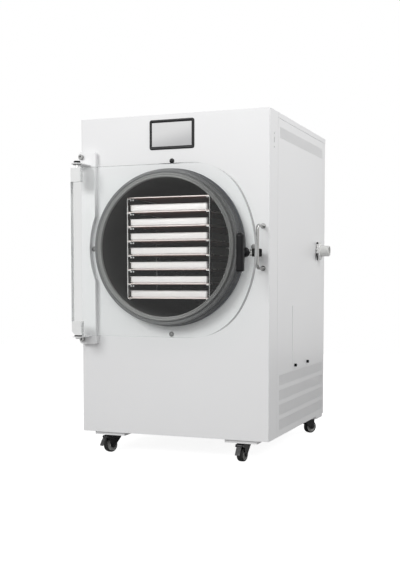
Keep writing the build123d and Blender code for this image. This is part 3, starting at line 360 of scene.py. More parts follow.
def clearAcrylic(look):
    # clear glass that lets lamps through: a Transparent shader stands in for rays from lamps and for
    # light that bounces off the matt surfaces behind it
    material, nodes, links, shader = startMaterial("acrylicClear")
    # these two are linked below, and keep the polished faces' values all the same
    shader.inputs["Base Color"].default_value = (*look["tint"], 1)
    shader.inputs["Transmission Weight"].default_value = 1.0
    shader.inputs["IOR"].default_value = look["index"]
    shader.inputs["Roughness"].default_value = look["roughness"]
    clear = nodes.new("ShaderNodeBsdfTransparent")
    clear.inputs["Color"].default_value = (*look["tint"], 1)
    # sawn edges are frosted and greyer: less light goes through where a face doesn't point forwards or backwards
    place = nodes.new("ShaderNodeTexCoord")
    facing = nodes.new("ShaderNodeSeparateXYZ")
    flat = addMath(nodes, "ABSOLUTE")
    links.new(place.outputs["Normal"], facing.inputs["Vector"])
    links.new(facing.outputs["Y"], flat.inputs[0])
    start, end = look["edgeTurn"]
    through = nodes.new("ShaderNodeMapRange")
    through.inputs["From Min"].default_value, through.inputs["From Max"].default_value = start, end
    through.inputs["To Min"].default_value, through.inputs["To Max"].default_value = 1 - look["edgeFrost"], 1.0
    links.new(flat.outputs["Value"], through.inputs["Value"])
    links.new(through.outputs["Result"], shader.inputs["Transmission Weight"])
    # the same node for vectors: its inputs 6 to 10 are the value, from min, from max, to min and to max
    colour = nodes.new("ShaderNodeMapRange")
    colour.data_type = "FLOAT_VECTOR"
    colour.inputs[7].default_value, colour.inputs[8].default_value = (start,) * 3, (end,) * 3
    colour.inputs[9].default_value, colour.inputs[10].default_value = look["edge"], look["tint"]
    links.new(flat.outputs["Value"], colour.inputs[6])
    links.new(colour.outputs[1], shader.inputs["Base Color"])
    ray = nodes.new("ShaderNodeLightPath")
    either = addMath(nodes, "MAXIMUM")
    mix = nodes.new("ShaderNodeMixShader")
    links.new(ray.outputs["Is Shadow Ray"], either.inputs[0])
    links.new(ray.outputs["Is Diffuse Ray"], either.inputs[1])
    links.new(either.outputs["Value"], mix.inputs["Fac"])
    links.new(shader.outputs["BSDF"], mix.inputs[1])
    links.new(clear.outputs["BSDF"], mix.inputs[2])
    links.new(mix.outputs["Shader"], nodes["Material Output"].inputs["Surface"])
    return material


finish["acrylicClear"] = clearAcrylic(acrylicLook)

displayLook = {"light": (0.72, 0.72, 0.72), "dark": (0.5, 0.5, 0.51), "span": (0.1, 0.95), "slant": 0.4,
               "roughness": 0.16, "coat": 0.4}


def idleDisplay(look):
    # a window whose grey runs from light at its upper left corner to dark at its lower right one
    material, nodes, links, shader = startMaterial("displayGrey")
    low, high = boxOf("screen_glass")
    size = high - low
    place = nodes.new("ShaderNodeTexCoord")
    mapping = nodes.new("ShaderNodeMapping")
    mapping.vector_type = "TEXTURE"
    mapping.inputs["Location"].default_value = (high[0], 0, low[2])
    mapping.inputs["Scale"].default_value = (-size[0], 1, size[2])
    split = nodes.new("ShaderNodeSeparateXYZ")
    total = addMath(nodes, "MULTIPLY_ADD", look["slant"])
    ramp = nodes.new("ShaderNodeValToRGB")
    ramp.color_ramp.interpolation = "EASE"
    for end, position, tone in zip(ramp.color_ramp.elements, look["span"], (look["dark"], look["light"])):
        end.position, end.color = position, (*tone, 1)
    links.new(place.outputs["Object"], mapping.inputs["Vector"])
    links.new(mapping.outputs["Vector"], split.inputs["Vector"])
    links.new(split.outputs["X"], total.inputs[0])
    links.new(split.outputs["Z"], total.inputs[2])
    links.new(total.outputs["Value"], ramp.inputs["Fac"])
    links.new(ramp.outputs["Color"], shader.inputs["Base Color"])
    shader.inputs["Roughness"].default_value = look["roughness"]
    shader.inputs["Coat Weight"].default_value = look["coat"]
    return material


finish["displayGrey"] = idleDisplay(displayLook)

dressed = {
    "powderWhite": ["front_panel", "top_cover", "left_side_panel", "right_side_panel", "rear_panel", "base_pan",
                    "side_access_cover", "caster_plates", "service_port"],
    "bracketPaintedLightWhite": ["hinge_bracket"],
    "zincSteel": ["chassis_frame", "caster_stems", "drum_cradles"],
    "polishedSteel": ["hinge_pins", "latch_arm", "vacuum_pipe"],
    "shadedSteel": ["latch_keeper", "hinge_bolts"],
    "shelfSteel": ["shelf_plates"],
    "drumDark": ["chamber_drum"],
    "foamBlack": ["drum_insulation"],
    "coilCopper": ["evaporator_coil"],
    "heaterRed": ["heater_pads"],
    "forkBlack": ["caster_fork_fl", "caster_fork_fr", "caster_fork_rl", "caster_fork_rr"],
    "nylonBlack": ["fan_blades", "power_inlet"],
    "padBlack": ["latch_pad"],
    "blockPale": ["hinge_blocks"],
    "portNylon": ["port_adapter"],
    "enamelBlack": ["compressor"],
    "finAluminium": ["condenser"],
    "displayGrey": ["screen_glass"],
    "acrylicClear": ["door_plate"],
}

for finishName, nodeNames in dressed.items():
    for nodeName in nodeNames:
        for slot in cad[nodeName].material_slots:
            slot.material = finish[finishName]
print("finishes:", len(finish), "materials on", sum(map(len, dressed.values())), "CAD nodes")


# the collar and the gasket's lip round the chamber's mouth

collarLook = {
    # radii and depths in metres, a depth being the distance in front of the panel
    "bore": 0.251, "side": 0.2622, "rib": 0.0032, "ribPitch": 0.0158, "foot": 0.0120, "edge": 0.0020,
    "nose": (0.2522, 0.2632), "noseDepth": (0.0500, 0.0618), "lip": 0.0022, "turns": 288,
    "bead": 0.0021, "ribHighlightPlaces": ((0.2648, 0.0396), (0.2648, 0.0238)), "band": (0.24885, 0.0033, 0.044, 0.0605),
}


def collarOutline(look):
    # the ribbed side's radius is side + rib * |sin(pi * depth / pitch)|^3
    low, high = boxOf("neck_collar")
    outer = (high[0] - low[0]) / 2
    front = look["noseDepth"][0] - 0.0012
    depth = np.linspace(front, look["foot"] + 0.003, 96)
    ribs = look["side"] - 0.001 + look["rib"] * np.abs(np.sin(math.pi * depth / look["ribPitch"])) ** 3
    inside = [(look["bore"], 0), (look["bore"], -front)]
    foot = [(outer - 0.001, -look["foot"]), (outer, -look["foot"] + 0.001), (outer, -0.003), (outer - look["edge"], 0)]
    return np.concatenate([inside, np.stack([ribs, -depth], -1), foot])


def noseOutline(look):
    # a square ring with eased front corners, which closes the collar's front
    (inner, outer), (back, front), lip = look["nose"], look["noseDepth"], look["lip"]
    corners = [(inner + 0.0014, -back), (inner, -back - 0.004), (inner, lip / 2 - front), (inner + lip / 2, -front)]
    corners += [(outer - lip, -front), (outer, lip - front), (outer, -back)]
    return roundCorners(corners, 0.0012, 4)


makePiece("neckCollar", [turned(collarOutline(collarLook), chamberAxis, acrossY, collarLook["turns"])],
          [finish["collarGrey"]], "cabinet", ["neck_collar"])


def beadOutline(place, radius):
    # a circle round (radius, depth) = place
    t = np.linspace(0, 2 * math.pi, 12, endpoint=False)
    return np.stack([place[0] + radius * np.cos(t), radius * np.sin(t) - place[1]], -1)


# the two beads on the ribs are real rings, and their lighter grey is a painted highlight along the rib crests
noseOutlines = [noseOutline(collarLook)]
noseOutlines += [beadOutline(place, collarLook["bead"]) for place in collarLook["ribHighlightPlaces"]]
makePiece("collarNose", [turned(outline, chamberAxis, acrossY, collarLook["turns"]) for outline in noseOutlines],
          [finish["noseGrey"]], "cabinet", ())


def bandOutline(look):
    # a square ring that fills the gap between the lip and the nose, a little behind the nose's front: in the nose's
    # dark grey it is painted shade for the groove between them
    inner, thick, back, front = look["band"]
    return [(inner, -back), (inner, -front), (inner + thick, -front), (inner + thick, -back)]


makePiece("grooveShadeBand", [turned(bandOutline(collarLook), chamberAxis, acrossY, collarLook["turns"])],
          [finish["noseGrey"]], "cabinet", ())

gasketLook = {"inner": 0.235, "lip": 0.0022, "groove": 0.0012, "grooveHalf": 0.0022, "turns": 288}


def gasketOutline(look):
    # a square lip with eased front corners and one shallow groove half way across its face
    low, high = boxOf("door_gasket")
    outer, front, back = (high[0] - low[0]) / 2, low[1] - panelFace, high[1] - panelFace
    inner, lip, middle = look["inner"], look["lip"], (look["inner"] + outer) / 2
    half = look["grooveHalf"]
    corners = [(inner, back), (inner, front + lip), (inner + lip, front), (middle - half, front)]
    corners += [(middle, front + look["groove"]), (middle + half, front), (outer - lip, front), (outer, front + lip)]
    return roundCorners(corners + [(outer, back)], 0.0008, 4)


makePiece("gasketLip", [turned(gasketOutline(gasketLook), chamberAxis, acrossY, gasketLook["turns"])],
          [finish["lipGrey"]], "cabinet", ["door_gasket"])
print("collar and gasket made")


# trays, posts and the pins that carry the shelves

shelfLook = {"count": 8, "thick": 0.003}


def shelfPitch(look):
    low, high = boxOf("shelf_plates")
    return (high[2] - low[2] - look["thick"]) / (look["count"] - 1)


trayLook = {"corner": 0.010, "roll": 0.0011, "wall": 0.0009, "bow": 0.0002, "foot": 0.0034, "recess": 0.005,
            "steps": 10}


def trayProfile(height, look):
    # (offset, height) pairs: the wall's offset is -2*roll - bow*(2s - 1)^2 at the part s of its height, the rim's
    # roll is the circle centre + roll * (cos t, sin t), and the foot is set back by the recess
    roll, foot, wall = look["roll"], look["foot"], look["wall"]
    s = np.linspace(0, 1, 9)
    outside = -2 * roll - look["bow"] * (2 * s - 1) ** 2
    outer = np.stack([outside, foot + s * (height - 2 * roll - foot)], -1)
    t = np.radians(np.linspace(-120, 160, 13))
    rim = np.stack([roll * np.cos(t) - roll, height - roll + roll * np.sin(t)], -1)
    inner = np.stack([outside - wall, foot + s * (height - 2 * roll - foot)], -1)[::-1]
    under = outside[0] - look["recess"]
    return np.concatenate([[(under, 0.0), (under, 0.7 * foot)], outer, rim, inner, [(under - wall, foot)]])


def trayShell(node, look):
    low, high = boxOf(node)
    width, depth, height = high - low
    base = np.array([(low[0] + high[0]) / 2, (low[1] + high[1]) / 2, low[2]])
    rings = [
        (roundedBox(width + 2 * o, depth + 2 * o, look["corner"] + o, look["steps"]), z)
        for o, z in trayProfile(height, look)
    ]
    return ringed(rings, base, acrossX, acrossY, acrossZ)


for number in range(1, shelfLook["count"]):
    node = "tray_%d" % number
    makePiece("pan%d" % number, [trayShell(node, trayLook)], [finish["panSteel"]], "cabinet", [node])

postLook = {"face": 0.0035, "corner": 0.0009, "depth": 0.012, "rows": 3}


def postShells(look):
    # flat upright posts, narrow from the front and deep from the side: the front left one is bright polished steel, and
    # the others take the darker steel as painted shade
    low, high = boxOf("rack_posts")
    shelfLow, shelfHigh = boxOf("shelf_plates")
    height = high[2] - low[2]
    shells = []
    for row, y in enumerate(np.linspace(low[1], high[1] - look["depth"], look["rows"])):
        for inner, side in ((shelfLow[0], -1), (shelfHigh[0], 1)):
            outline = roundedBox(look["face"], look["depth"], look["corner"], 4)
            base = np.array([inner + side * look["face"] / 2, y + look["depth"] / 2, low[2]])
            rings = [(outline * 0.9, 0), (outline, 0.0006), (outline, height - 0.0006), (outline * 0.9, height)]
            shells.append((*ringed(rings, base, acrossX, acrossY, acrossZ), int(row > 0 or side > 0)))
    return shells


makePiece("rackPosts", postShells(postLook), [finish["polishedSteel"], finish["shadedSteel"]], "cabinet",
          ["rack_posts"])

shelfPinLook = {"radius": 0.0019, "reach": 0.011, "ease": 0.0006, "post": 0.007, "drop": 0.0001, "turns": 12}


def shelfPins(look):
    # plain pins, one under each end of each shelf at each pair of posts
    low, high = boxOf("shelf_plates")
    half, radius, reach, ease = look["post"] / 2, look["radius"], look["reach"], look["ease"]
    rows = np.linspace(low[1] + half, high[1] - half, postLook["rows"])
    outline = [(0, 0), (radius, 0), (radius, reach - ease), (radius - ease, reach), (0, reach)]
    shells = []
    for number in range(shelfLook["count"]):
        z = low[2] + shelfPitch(shelfLook) * number - radius - look["drop"]
        for y in rows:
            shells.append(turned(outline, np.array([low[0], y, z]), acrossX, look["turns"]))
            shells.append(turned(outline, np.array([high[0], y, z]), -acrossX, look["turns"]))
    return shells


makePiece("shelfPins", shelfPins(shelfPinLook), [finish["polishedSteel"]], "cabinet", ())

terminalLook = {"radius": 0.0028, "rise": 0.0026, "skirt": 0.0008, "places": (0.0105, 0.0195), "below": 0.0066,
                "tab": (0.019, 0.0075, 0.0016), "tabCorner": 0.0012, "tabRise": 0.0024, "face": 0.0035,
                "proud": 0.0006}


def terminalShells(look):
    # two domed screw heads on a dark tab under the hinge-side end of each shelf
    low, _ = boxOf("shelf_plates")
    width, height, thick = look["tab"]
    radius, rise, foot = look["radius"], look["rise"], look["rise"] + look["skirt"]
    t = np.linspace(0, math.pi / 2, 5)
    dome = np.stack([radius * np.sin(t), rise * (1 - np.cos(t))], -1)
    dome = np.concatenate([dome, [(radius, foot), (0, foot)]])
    outline = roundedBox(width, height, look["tabCorner"], 3)
    face = low[1] + look["face"]
    shells = []
    for number in range(1, shelfLook["count"]):
        z = low[2] + shelfPitch(shelfLook) * number - look["below"]
        middle = np.array([low[0] + sum(look["places"]) / 2, face, z + look["tabRise"]])
        shells.append((*ringed([(outline, 0), (outline, thick)], middle, acrossX, acrossZ, acrossY), 1))
        for place in look["places"]:
            tip = np.array([low[0] + place, face - rise - look["proud"], z])
            shells.append((*turned(dome, tip, acrossY, 14), 0))
    return shells


makePiece("heaterTerminals", terminalShells(terminalLook), [finish["clampPale"], finish["nylonBlack"]], "cabinet",
          ())
print("trays, rack posts, shelf pins and heater terminals made")


# the latch's grip and hub

gripLook = {"power": 3.0, "width": 0.025, "depth": 0.028, "topRound": 0.012, "lowRound": 0.006, "waist": 0.03,
            "lean": 0.1, "rows": 56, "around": 40, "neck": 0.0085, "flare": 0.0015, "neckLength": 0.012}


def gripShell(look):
    # each level is the curve |x/a|^p + |y/b|^p = 1, and a and b fall to nothing over the round ends as
    # sqrt(1 - u^2), where u runs from 0 to 1 over the end
    low, high = boxOf("latch_lever")
    depth, half = look["depth"], look["width"] / 2
    middle = np.array([(low[0] + high[0]) / 2, low[1] + depth / 2, low[2]])
    length = high[2] - low[2]
    s = (1 - np.cos(np.linspace(0, math.pi, look["rows"]))) / 2
    z = s * length
    top = np.clip((z - length + look["topRound"]) / look["topRound"], 0, 1)
    foot = np.clip((look["lowRound"] - z) / look["lowRound"], 0, 1)
    ends = np.sqrt(1 - top**2) * (1 - foot**2.4) ** (1 / 2.4)
    waist = 1 - look["waist"] * np.cos(math.pi * (s - 0.45)) ** 8
    angle = np.linspace(0, 2 * math.pi, look["around"], endpoint=False)
    x = np.sign(np.cos(angle)) * np.abs(np.cos(angle)) ** (2 / look["power"])
    y = np.sign(np.sin(angle)) * np.abs(np.sin(angle)) ** (2 / look["power"])
    lean = 1 - look["lean"] * (1 - s)
    rings = [
        (np.stack([x * half * a * w, y * depth / 2 * a * w * d], -1), h)
        for a, w, d, h in zip(ends, waist, lean, z)
    ]
    return ringed(rings, middle, acrossX, acrossY, acrossZ)


def neckShell(look):
    # the grip's shaft, which widens towards the hub
    _, high = boxOf("latch_lever")
    x, _, z = jointNamed("latch_turn")["pos_m"]
    radius, wide, length = look["neck"], look["neck"] + look["flare"], look["neckLength"]
    outline = [(0, 0), (radius, 0), (radius, 0.006), (wide, 0.0085), (wide, length), (0, length)]
    return turned(outline, np.array([x, high[1] - length, z]), acrossY, 40)


makePiece("latchGrip", [gripShell(gripLook), neckShell(gripLook)], [finish["gripBlack"]], "latch", ["latch_lever"])

hubLook = {"dome": 0.0085, "skirt": 0.0165, "steps": 15, "turns": 64}


def hubShell(look):
    # the dome is a quarter of an ellipse from the shaft to the skirt
    low, high = boxOf("latch_hub")
    x, _, z = jointNamed("latch_turn")["pos_m"]
    radius, depth = (high[0] - low[0]) / 2, high[1] - low[1]
    t = np.linspace(math.pi / 2, 0.12, look["steps"])
    dome = np.stack([look["skirt"] * np.cos(t), look["dome"] * (1 - np.sin(t))], -1)
    ring = [(look["skirt"], look["dome"] + 0.003), (radius, look["dome"] + 0.0045), (radius, depth), (0, depth)]
    return turned(np.concatenate([dome, ring]), np.array([x, low[1], z]), acrossY, look["turns"])


makePiece("latchHub", [hubShell(hubLook)], [finish["gripBlack"]], "door", ["latch_hub"])
print("latch grip and hub made")


# caster wheels: a tyre on a grey rim

wheelLook = {"width": 0.023, "seat": 0.0192, "crown": 0.0012, "shoulder": 0.003, "web": 0.0035, "hub": 0.0085,
             "bore": 0.0041, "turns": 72}


def wheelShells(key, look):
    # the tread's radius is R - crown * (2h/w)^2 across the width w
    joint = jointNamed("wheel_spin_" + key)
    low, high = boxOf("caster_wheel_" + key)
    radius = (high[2] - low[2]) / 2
    half = look["width"] / 2
    h = np.linspace(half - look["shoulder"], look["shoulder"] - half, 9)
    tread = np.stack([radius - look["crown"] * (h / half) ** 2, h], -1)
    seat = look["seat"]
    side = [(seat, half - 0.0012), (seat + 0.001, half), (radius - look["shoulder"], half)]
    tyre = np.concatenate([side, tread, np.array(side)[::-1] * (1, -1)])
    face = [(look["bore"], half), (look["hub"], half), (look["hub"] + 0.001, half - 0.001)]
    face += [(look["hub"] + 0.0015, look["web"]), (seat - 0.003, look["web"]), (seat - 0.0018, half - 0.0012)]
    face += [(seat - 0.0002, half - 0.0012)]
    rim = np.concatenate([face, np.array(face)[::-1] * (1, -1)])
    centre, axis = np.array(joint["pos_m"]), np.array(joint["axis"], float)
    return [
        (*turned(tyre, centre, axis, look["turns"]), 0),
        (*turned(rim, centre, axis, look["turns"]), 1),
    ]


for key in ("fl", "fr", "rl", "rr"):
    makePiece("casterWheel" + key.upper(), wheelShells(key, wheelLook), [finish["tyreBlack"], finish["rimGrey"]],
              "wheel_" + key, ["caster_wheel_" + key])
print("caster wheels made")


# brake pedals that curve down over the tyres of the front casters

pedalLook = {"inner": 0.0362, "outer": 0.0392, "from": 64.0, "to": 2.0, "kick": 0.0032, "groove": 0.0007,
             "grooves": 7, "width": 0.0180, "barrel": 0.0050, "ease": 0.0010, "steps": 43}


def pedalShells(key, look):
    # the tread's outer radius about the wheel is outer + groove * (|cos(pi * n * s)| - 1) + kick * (1 - 3e)^2 near
    # its lower end, where s runs along the tread and e is the distance from that end
    wheel, tip = jointNamed("wheel_spin_" + key), jointNamed("brake_pedal_%s_tip" % key)
    centre, pivot = np.array(wheel["pos_m"]), np.array(tip["pos_m"])
    axle = np.array(tip["axis"], float)
    outward = pivot - centre
    outward[2] = 0
    outward /= np.linalg.norm(outward)
    s = np.linspace(0, 1, look["steps"])
    angle = np.radians(look["from"] + (look["to"] - look["from"]) * s)
    kick = look["kick"] * np.clip(1 - 3 * (1 - s), 0, 1) ** 2
    outer = look["outer"] + look["groove"] * (np.abs(np.cos(math.pi * look["grooves"] * s)) - 1) + kick
    inner = look["inner"] + kick
    along = np.concatenate([angle, angle[::-1]])
    radius = np.concatenate([outer, inner[::-1]])
    outline = np.stack([radius * np.cos(along), radius * np.sin(along)], -1)
    middle = outline.mean(0)
    half, ease = look["width"] / 2, look["ease"]
    inset = middle + (outline - middle) * 0.985
    rings = [(inset, -half), (outline, ease - half), (outline, half - ease), (inset, half)]
    barrel = look["barrel"]
    roll = [(0, -half), (barrel - 0.0006, -half), (barrel, 0.0006 - half), (barrel, half - 0.0006),
            (barrel - 0.0006, half), (0, half)]
    return [ringed(rings, centre, outward, acrossZ, axle), turned(roll, pivot, axle, 32)]


for key in ("fl", "fr"):
    makePiece("brakePedal" + key.upper(), pedalShells(key, pedalLook), [finish["pedalBlack"]], "pedal_" + key,
              ["brake_pedal_" + key])
print("brake pedals made")


# knurled screws on the access cover

screwLook = {"radius": 0.0052, "depth": 0.0085, "knurl": 0.0003, "count": 22, "ease": 0.0012}


def screwShells(look):
    # the head's radius at the angle t is radius + knurl * cos(count * t)
    low, high = boxOf("cover_thumb_screws")
    face = boxOf("side_access_cover")[1][0]
    reach = (high[2] - low[2]) / 2
    radius, depth, ease = look["radius"], look["depth"], look["ease"]
    t = np.linspace(0, 2 * math.pi, look["count"] * 4, endpoint=False)
    ring = np.stack([np.cos(t), np.sin(t)], -1) * (1 + look["knurl"] / radius * np.cos(look["count"] * t))[:, None]
    shells = []
    for y in (low[1] + reach, high[1] - reach):
        rings = [(ring * radius, 0), (ring * radius, depth - ease), (ring * (radius - 0.4 * ease), depth - 0.3 * ease)]
        rings += [(ring * (radius - ease), depth), (ring * 0.4 * radius, depth), (ring * 0.3 * radius, depth - 0.001)]
        shells.append(ringed(rings, np.array([face, y, (low[2] + high[2]) / 2]), acrossY, acrossZ, acrossX))
    return shells


makePiece("coverScrews", screwShells(screwLook), [finish["gripBlack"]], "cabinet", ["cover_thumb_screws"])
print("access cover screws made")


# the display's frame

displayFrameLook = {"corner": 0.008, "crest": 0.0045, "window": (0.147, 0.081), "windowCorner": 0.0022, "steps": 10}


def displayFrameShells(look):
    # rings that run from the outer edge over a rounded crest and down to the window
    low, high = boxOf("screen_bezel")
    width, height, proud = high[0] - low[0], high[2] - low[2], panelFace - low[1]
    origin = np.array([(low[0] + high[0]) / 2, panelFace, (low[2] + high[2]) / 2])
    inner = roundedBox(*look["window"], look["windowCorner"], look["steps"])

    def outer(inset):
        return roundedBox(width - 2 * inset, height - 2 * inset, look["corner"] - inset, look["steps"])

    rings = [(outer(0.0), 0.0), (outer(0.0), 0.35 * proud)]
    rings += [(outer(0.0007), 0.75 * proud), (outer(0.002), 0.97 * proud), (outer(look["crest"]), proud)]
    rings += [(inner * 1.02, 0.9 * proud), (inner * 1.004, 0.6 * proud), (inner, 0.1 * proud)]
    rings += [(inner, -0.003), (outer(0.0075), -0.003), (outer(0.0045), 0.0)]
    front = ringed(rings, origin, -acrossX, acrossZ, -acrossY, closed=True)
    back = panelFace - high[1]
    housing = [(outer(0.0045), -0.0031), (outer(0.0045), back + 0.001), (outer(0.0055), back)]
    return [front, ringed(housing, origin, -acrossX, acrossZ, -acrossY)]


makePiece("displayFrame", displayFrameShells(displayFrameLook), [finish["frameBlack"]], "cabinet", ["screen_bezel"],
          sharp=50.0)
print("display frame made")


# the clamp on the vacuum port

clampLook = {"ring": 0.0345, "bore": 0.0216, "slope": 0.0024, "ear": (0.011, 0.018), "split": 0.005,
             "bolt": 0.0025, "ball": 0.0045, "hub": (0.005, 0.007), "wing": (0.015, 0.006, 0.0255, 0.0040),
             "turns": 72}


def easedBlock(low, high, corner, ease):
    # a rounded rectangle carried upwards, with its top and bottom edges cut back by `ease`
    size = np.subtract(high, low)
    base = np.array([(low[0] + high[0]) / 2, (low[1] + high[1]) / 2, low[2]])

    def inset(e):
        return roundedBox(size[0] - 2 * e, size[1] - 2 * e, corner - 0.9 * e, 5)

    rings = [(inset(ease), 0.0), (inset(0.0), ease), (inset(0.0), size[2] - ease), (inset(ease), size[2])]
    return ringed(rings, base, acrossX, acrossY, acrossZ)


def clampShells(look):
    low, high = boxOf("port_clamp")
    port = middleOf("port_adapter")
    x0, x1 = low[0], high[0]
    width, ring, slope = x1 - x0, look["ring"], look["slope"]
    section = [(look["bore"], 0), (ring - slope, 0), (ring, slope), (ring, width - slope), (ring - slope, width)]
    shells = [turned(section + [(look["bore"], width)], np.array([x0, port[1], port[2]]), acrossX, look["turns"])]
    reach, height = look["ear"]
    overlap = 0.003
    front = port[1] - ring + overlap
    for z0, z1 in ((look["split"] / 2, height / 2), (-height / 2, -look["split"] / 2)):
        shells.append(easedBlock((x0, front - reach, port[2] + z0), (x1, front, port[2] + z1), 0.003, 0.0008))
    hub, _ = look["hub"]
    barrel = [(0, 0), (hub, 0), (hub, width), (0, width)]
    shells.append(turned(barrel, np.array([x0, port[1] + ring, port[2]]), acrossX, 32))
    return [(*shell, 0) for shell in shells]


def clampBoltShells(look):
    # the wing's half width falls in a straight line from its hub to its rounded tip
    low, high = boxOf("port_clamp")
    port = middleOf("port_adapter")
    bolt = np.array([(low[0] + high[0]) / 2, port[1] - look["ring"] - look["ear"][0] / 2 + 0.0015, 0.0])
    radius = look["bolt"]
    ball, top = look["ball"], high[2] - look["ball"]
    t = np.linspace(-math.pi / 2, math.pi / 2, 17)
    sphere = np.stack([ball * np.cos(t), ball * np.sin(t)], -1)
    foot = port[2] - look["ear"][1] / 2
    hub, hubHeight = look["hub"]
    under, end = foot - hubHeight, foot - hubHeight - 0.004
    stem = [(0, end), (radius, end), (radius, top), (0, top)]
    nut = [(radius, under), (hub - 0.001, under), (hub, under + 0.001), (hub, foot), (radius, foot)]
    wide, narrow, length, thick = look["wing"]
    corners = [(-wide / 2, 0), (-narrow / 2, -length), (narrow / 2, -length), (wide / 2, 0)]
    blade = roundCorners(corners, 0.0025, 6)
    half, ease = thick / 2, 0.0012
    levels = ((ease, -half), (0, 0.001 - half), (0, half - 0.001), (ease, half))
    rings = [(blade * (1 - 2 * e / wide), x) for e, x in levels]
    wing = ringed(rings, bolt + np.array([0, 0, foot - hubHeight / 2]), acrossY, acrossZ, acrossX)
    return [
        (*turned(sphere, bolt + np.array([0, 0, top]), acrossZ, 32), 1),
        (*turned(stem, bolt, acrossZ, 24), 2),
        (*turned(nut, bolt, acrossZ, 24), 3),
        (*wing, 1),
    ]


makePiece("portClamp", clampShells(clampLook) + clampBoltShells(clampLook),
          [finish["clampPale"], finish["gripBlack"], finish["polishedSteel"], finish["capGrey"]],
          "cabinet", ["port_clamp"])
print("port clamp made")


# screw caps on the front panel, the bracket's notch, and the washers and caps at the hinge

capLook = {"radius": 0.009, "rise": 0.004, "stem": 0.004, "nut": 0.007, "nutDepth": (0.0065, 0.0115),
           "depth": 0.0145, "turns": 40}


def capShell(x, z, look, number):
    # the dome's height is rise * sqrt(1 - (r/R)^3)
    r = np.linspace(0, 1, 9)
    dome = np.stack([look["radius"] * r, -look["rise"] * np.sqrt(1 - r**3)], -1)
    stem, nut, (front, rear) = look["stem"], look["nut"], look["nutDepth"]
    back = [(stem, 0), (stem, front), (nut, front), (nut, rear), (stem, rear), (stem, look["depth"])]
    outline = np.concatenate([dome, back, [(0, look["depth"])]])
    return (*turned(outline, np.array([x, panelFace, z]), acrossY, look["turns"]), number)


def capShells(look):
    low, high = boxOf("panel_caps")
    x, z = (low[0] + high[0]) / 2, (low[2] + high[2]) / 2
    reach = (high[0] - low[0]) / 2 - look["radius"]
    places = [(x, z + reach, 1), (x, z - reach, 0), (x - reach, z, 0), (x + reach, z, 0)]
    return [capShell(px, pz, look, number) for px, pz, number in places]


makePiece("panelCaps", capShells(capLook), [finish["capGrey"], finish["gripBlack"]], "cabinet", ["panel_caps"])

notchLook = {"fromCollar": 0.0345, "web": (0.017, 0.0002), "sheet": 0.003, "steps": 60}


def notchShell(look):
    # a strip bent round the bracket's notch, between the bracket's web and the front panel: its outline runs
    # along two arcs about the chamber's axis, x = -r cos t and z = r sin t, that end at the bracket's flange
    low, high = boxOf("neck_collar")
    radius = (high[0] - low[0]) / 2 + look["fromCollar"]
    end = math.acos((chamberAxis[0] - boxOf("hinge_bracket")[1][0]) / radius)
    t = np.linspace(-end, end, look["steps"])
    arc = np.stack([-np.cos(t), np.sin(t)], -1)
    outline = np.concatenate([arc * radius, (arc * (radius + look["sheet"]))[::-1]])
    return ringed([(outline, depth) for depth in look["web"]], chamberAxis, acrossX, acrossZ, -acrossY)


makePiece("bracketNotch", [notchShell(notchLook)], [finish["bracketPaintedLightWhite"]], "cabinet", ())

washerLook = {"pin": 0.00505, "washer": (0.014, 0.003), "bush": (0.0135, 0.0045), "ease": 0.0005, "turns": 48}


def washerShell(base, radius, height, look, number):
    hole, ease = look["pin"], look["ease"]
    outline = [(hole, 0), (radius - ease, 0), (radius, ease), (radius, height - ease)]
    outline += [(radius - ease, height), (hole, height)]
    return (*turned(outline, base, acrossZ, look["turns"]), number)


def washerShells(look):
    low, high = boxOf("hinge_bushes")
    x, y, _ = jointNamed("door_hinge")["pos_m"]
    radius, height = look["washer"]
    upper = washerShell(np.array([x, y, high[2] - height]), radius, height, look, 0)
    return [upper, washerShell(np.array([x, y, low[2]]), *look["bush"], look, 1)]


makePiece("hingeWashers", washerShells(washerLook), [finish["washerGrey"], finish["padBlack"]], "cabinet",
          ["hinge_bushes"])

pinCapLook = {"upper": (0.0115, 0.0078), "lower": (0.010, 0.005), "ease": 0.0015, "seat": 0.005, "turns": 40}


def pinCapShell(base, axis, radius, height, look, number):
    ease = look["ease"]
    outline = [(0, 0), (radius, 0), (radius, height - ease), (radius - ease, height), (0, height)]
    return (*turned(outline, base, axis, look["turns"]), number)


def pinCapShells(look):
    # the black cap on the upper pin, and the pale one under the lower pin
    low, high = boxOf("pin_caps")
    x, y, _ = jointNamed("door_hinge")["pos_m"]
    upper = pinCapShell(np.array([x, y, high[2] - look["seat"]]), acrossZ, *look["upper"], look, 0)
    return [upper, pinCapShell(np.array([x, y, low[2] + look["seat"]]), -acrossZ, *look["lower"], look, 1)]


makePiece("pinCaps", pinCapShells(pinCapLook), [finish["padBlack"], finish["blockPale"]], "cabinet", ["pin_caps"])
print("screw caps, bracket notch, hinge washers and pin caps made")


# stage, lamps and camera

stageLook = {"floorSize": 9.0, "floorColour": (0.4, 0.4, 0.4), "floorRoughness": 0.9, "floorGlow": 0.9,
             "glowThroughGlass": 0.7, "ambient": 0.42, "throughGlass": 0.58}


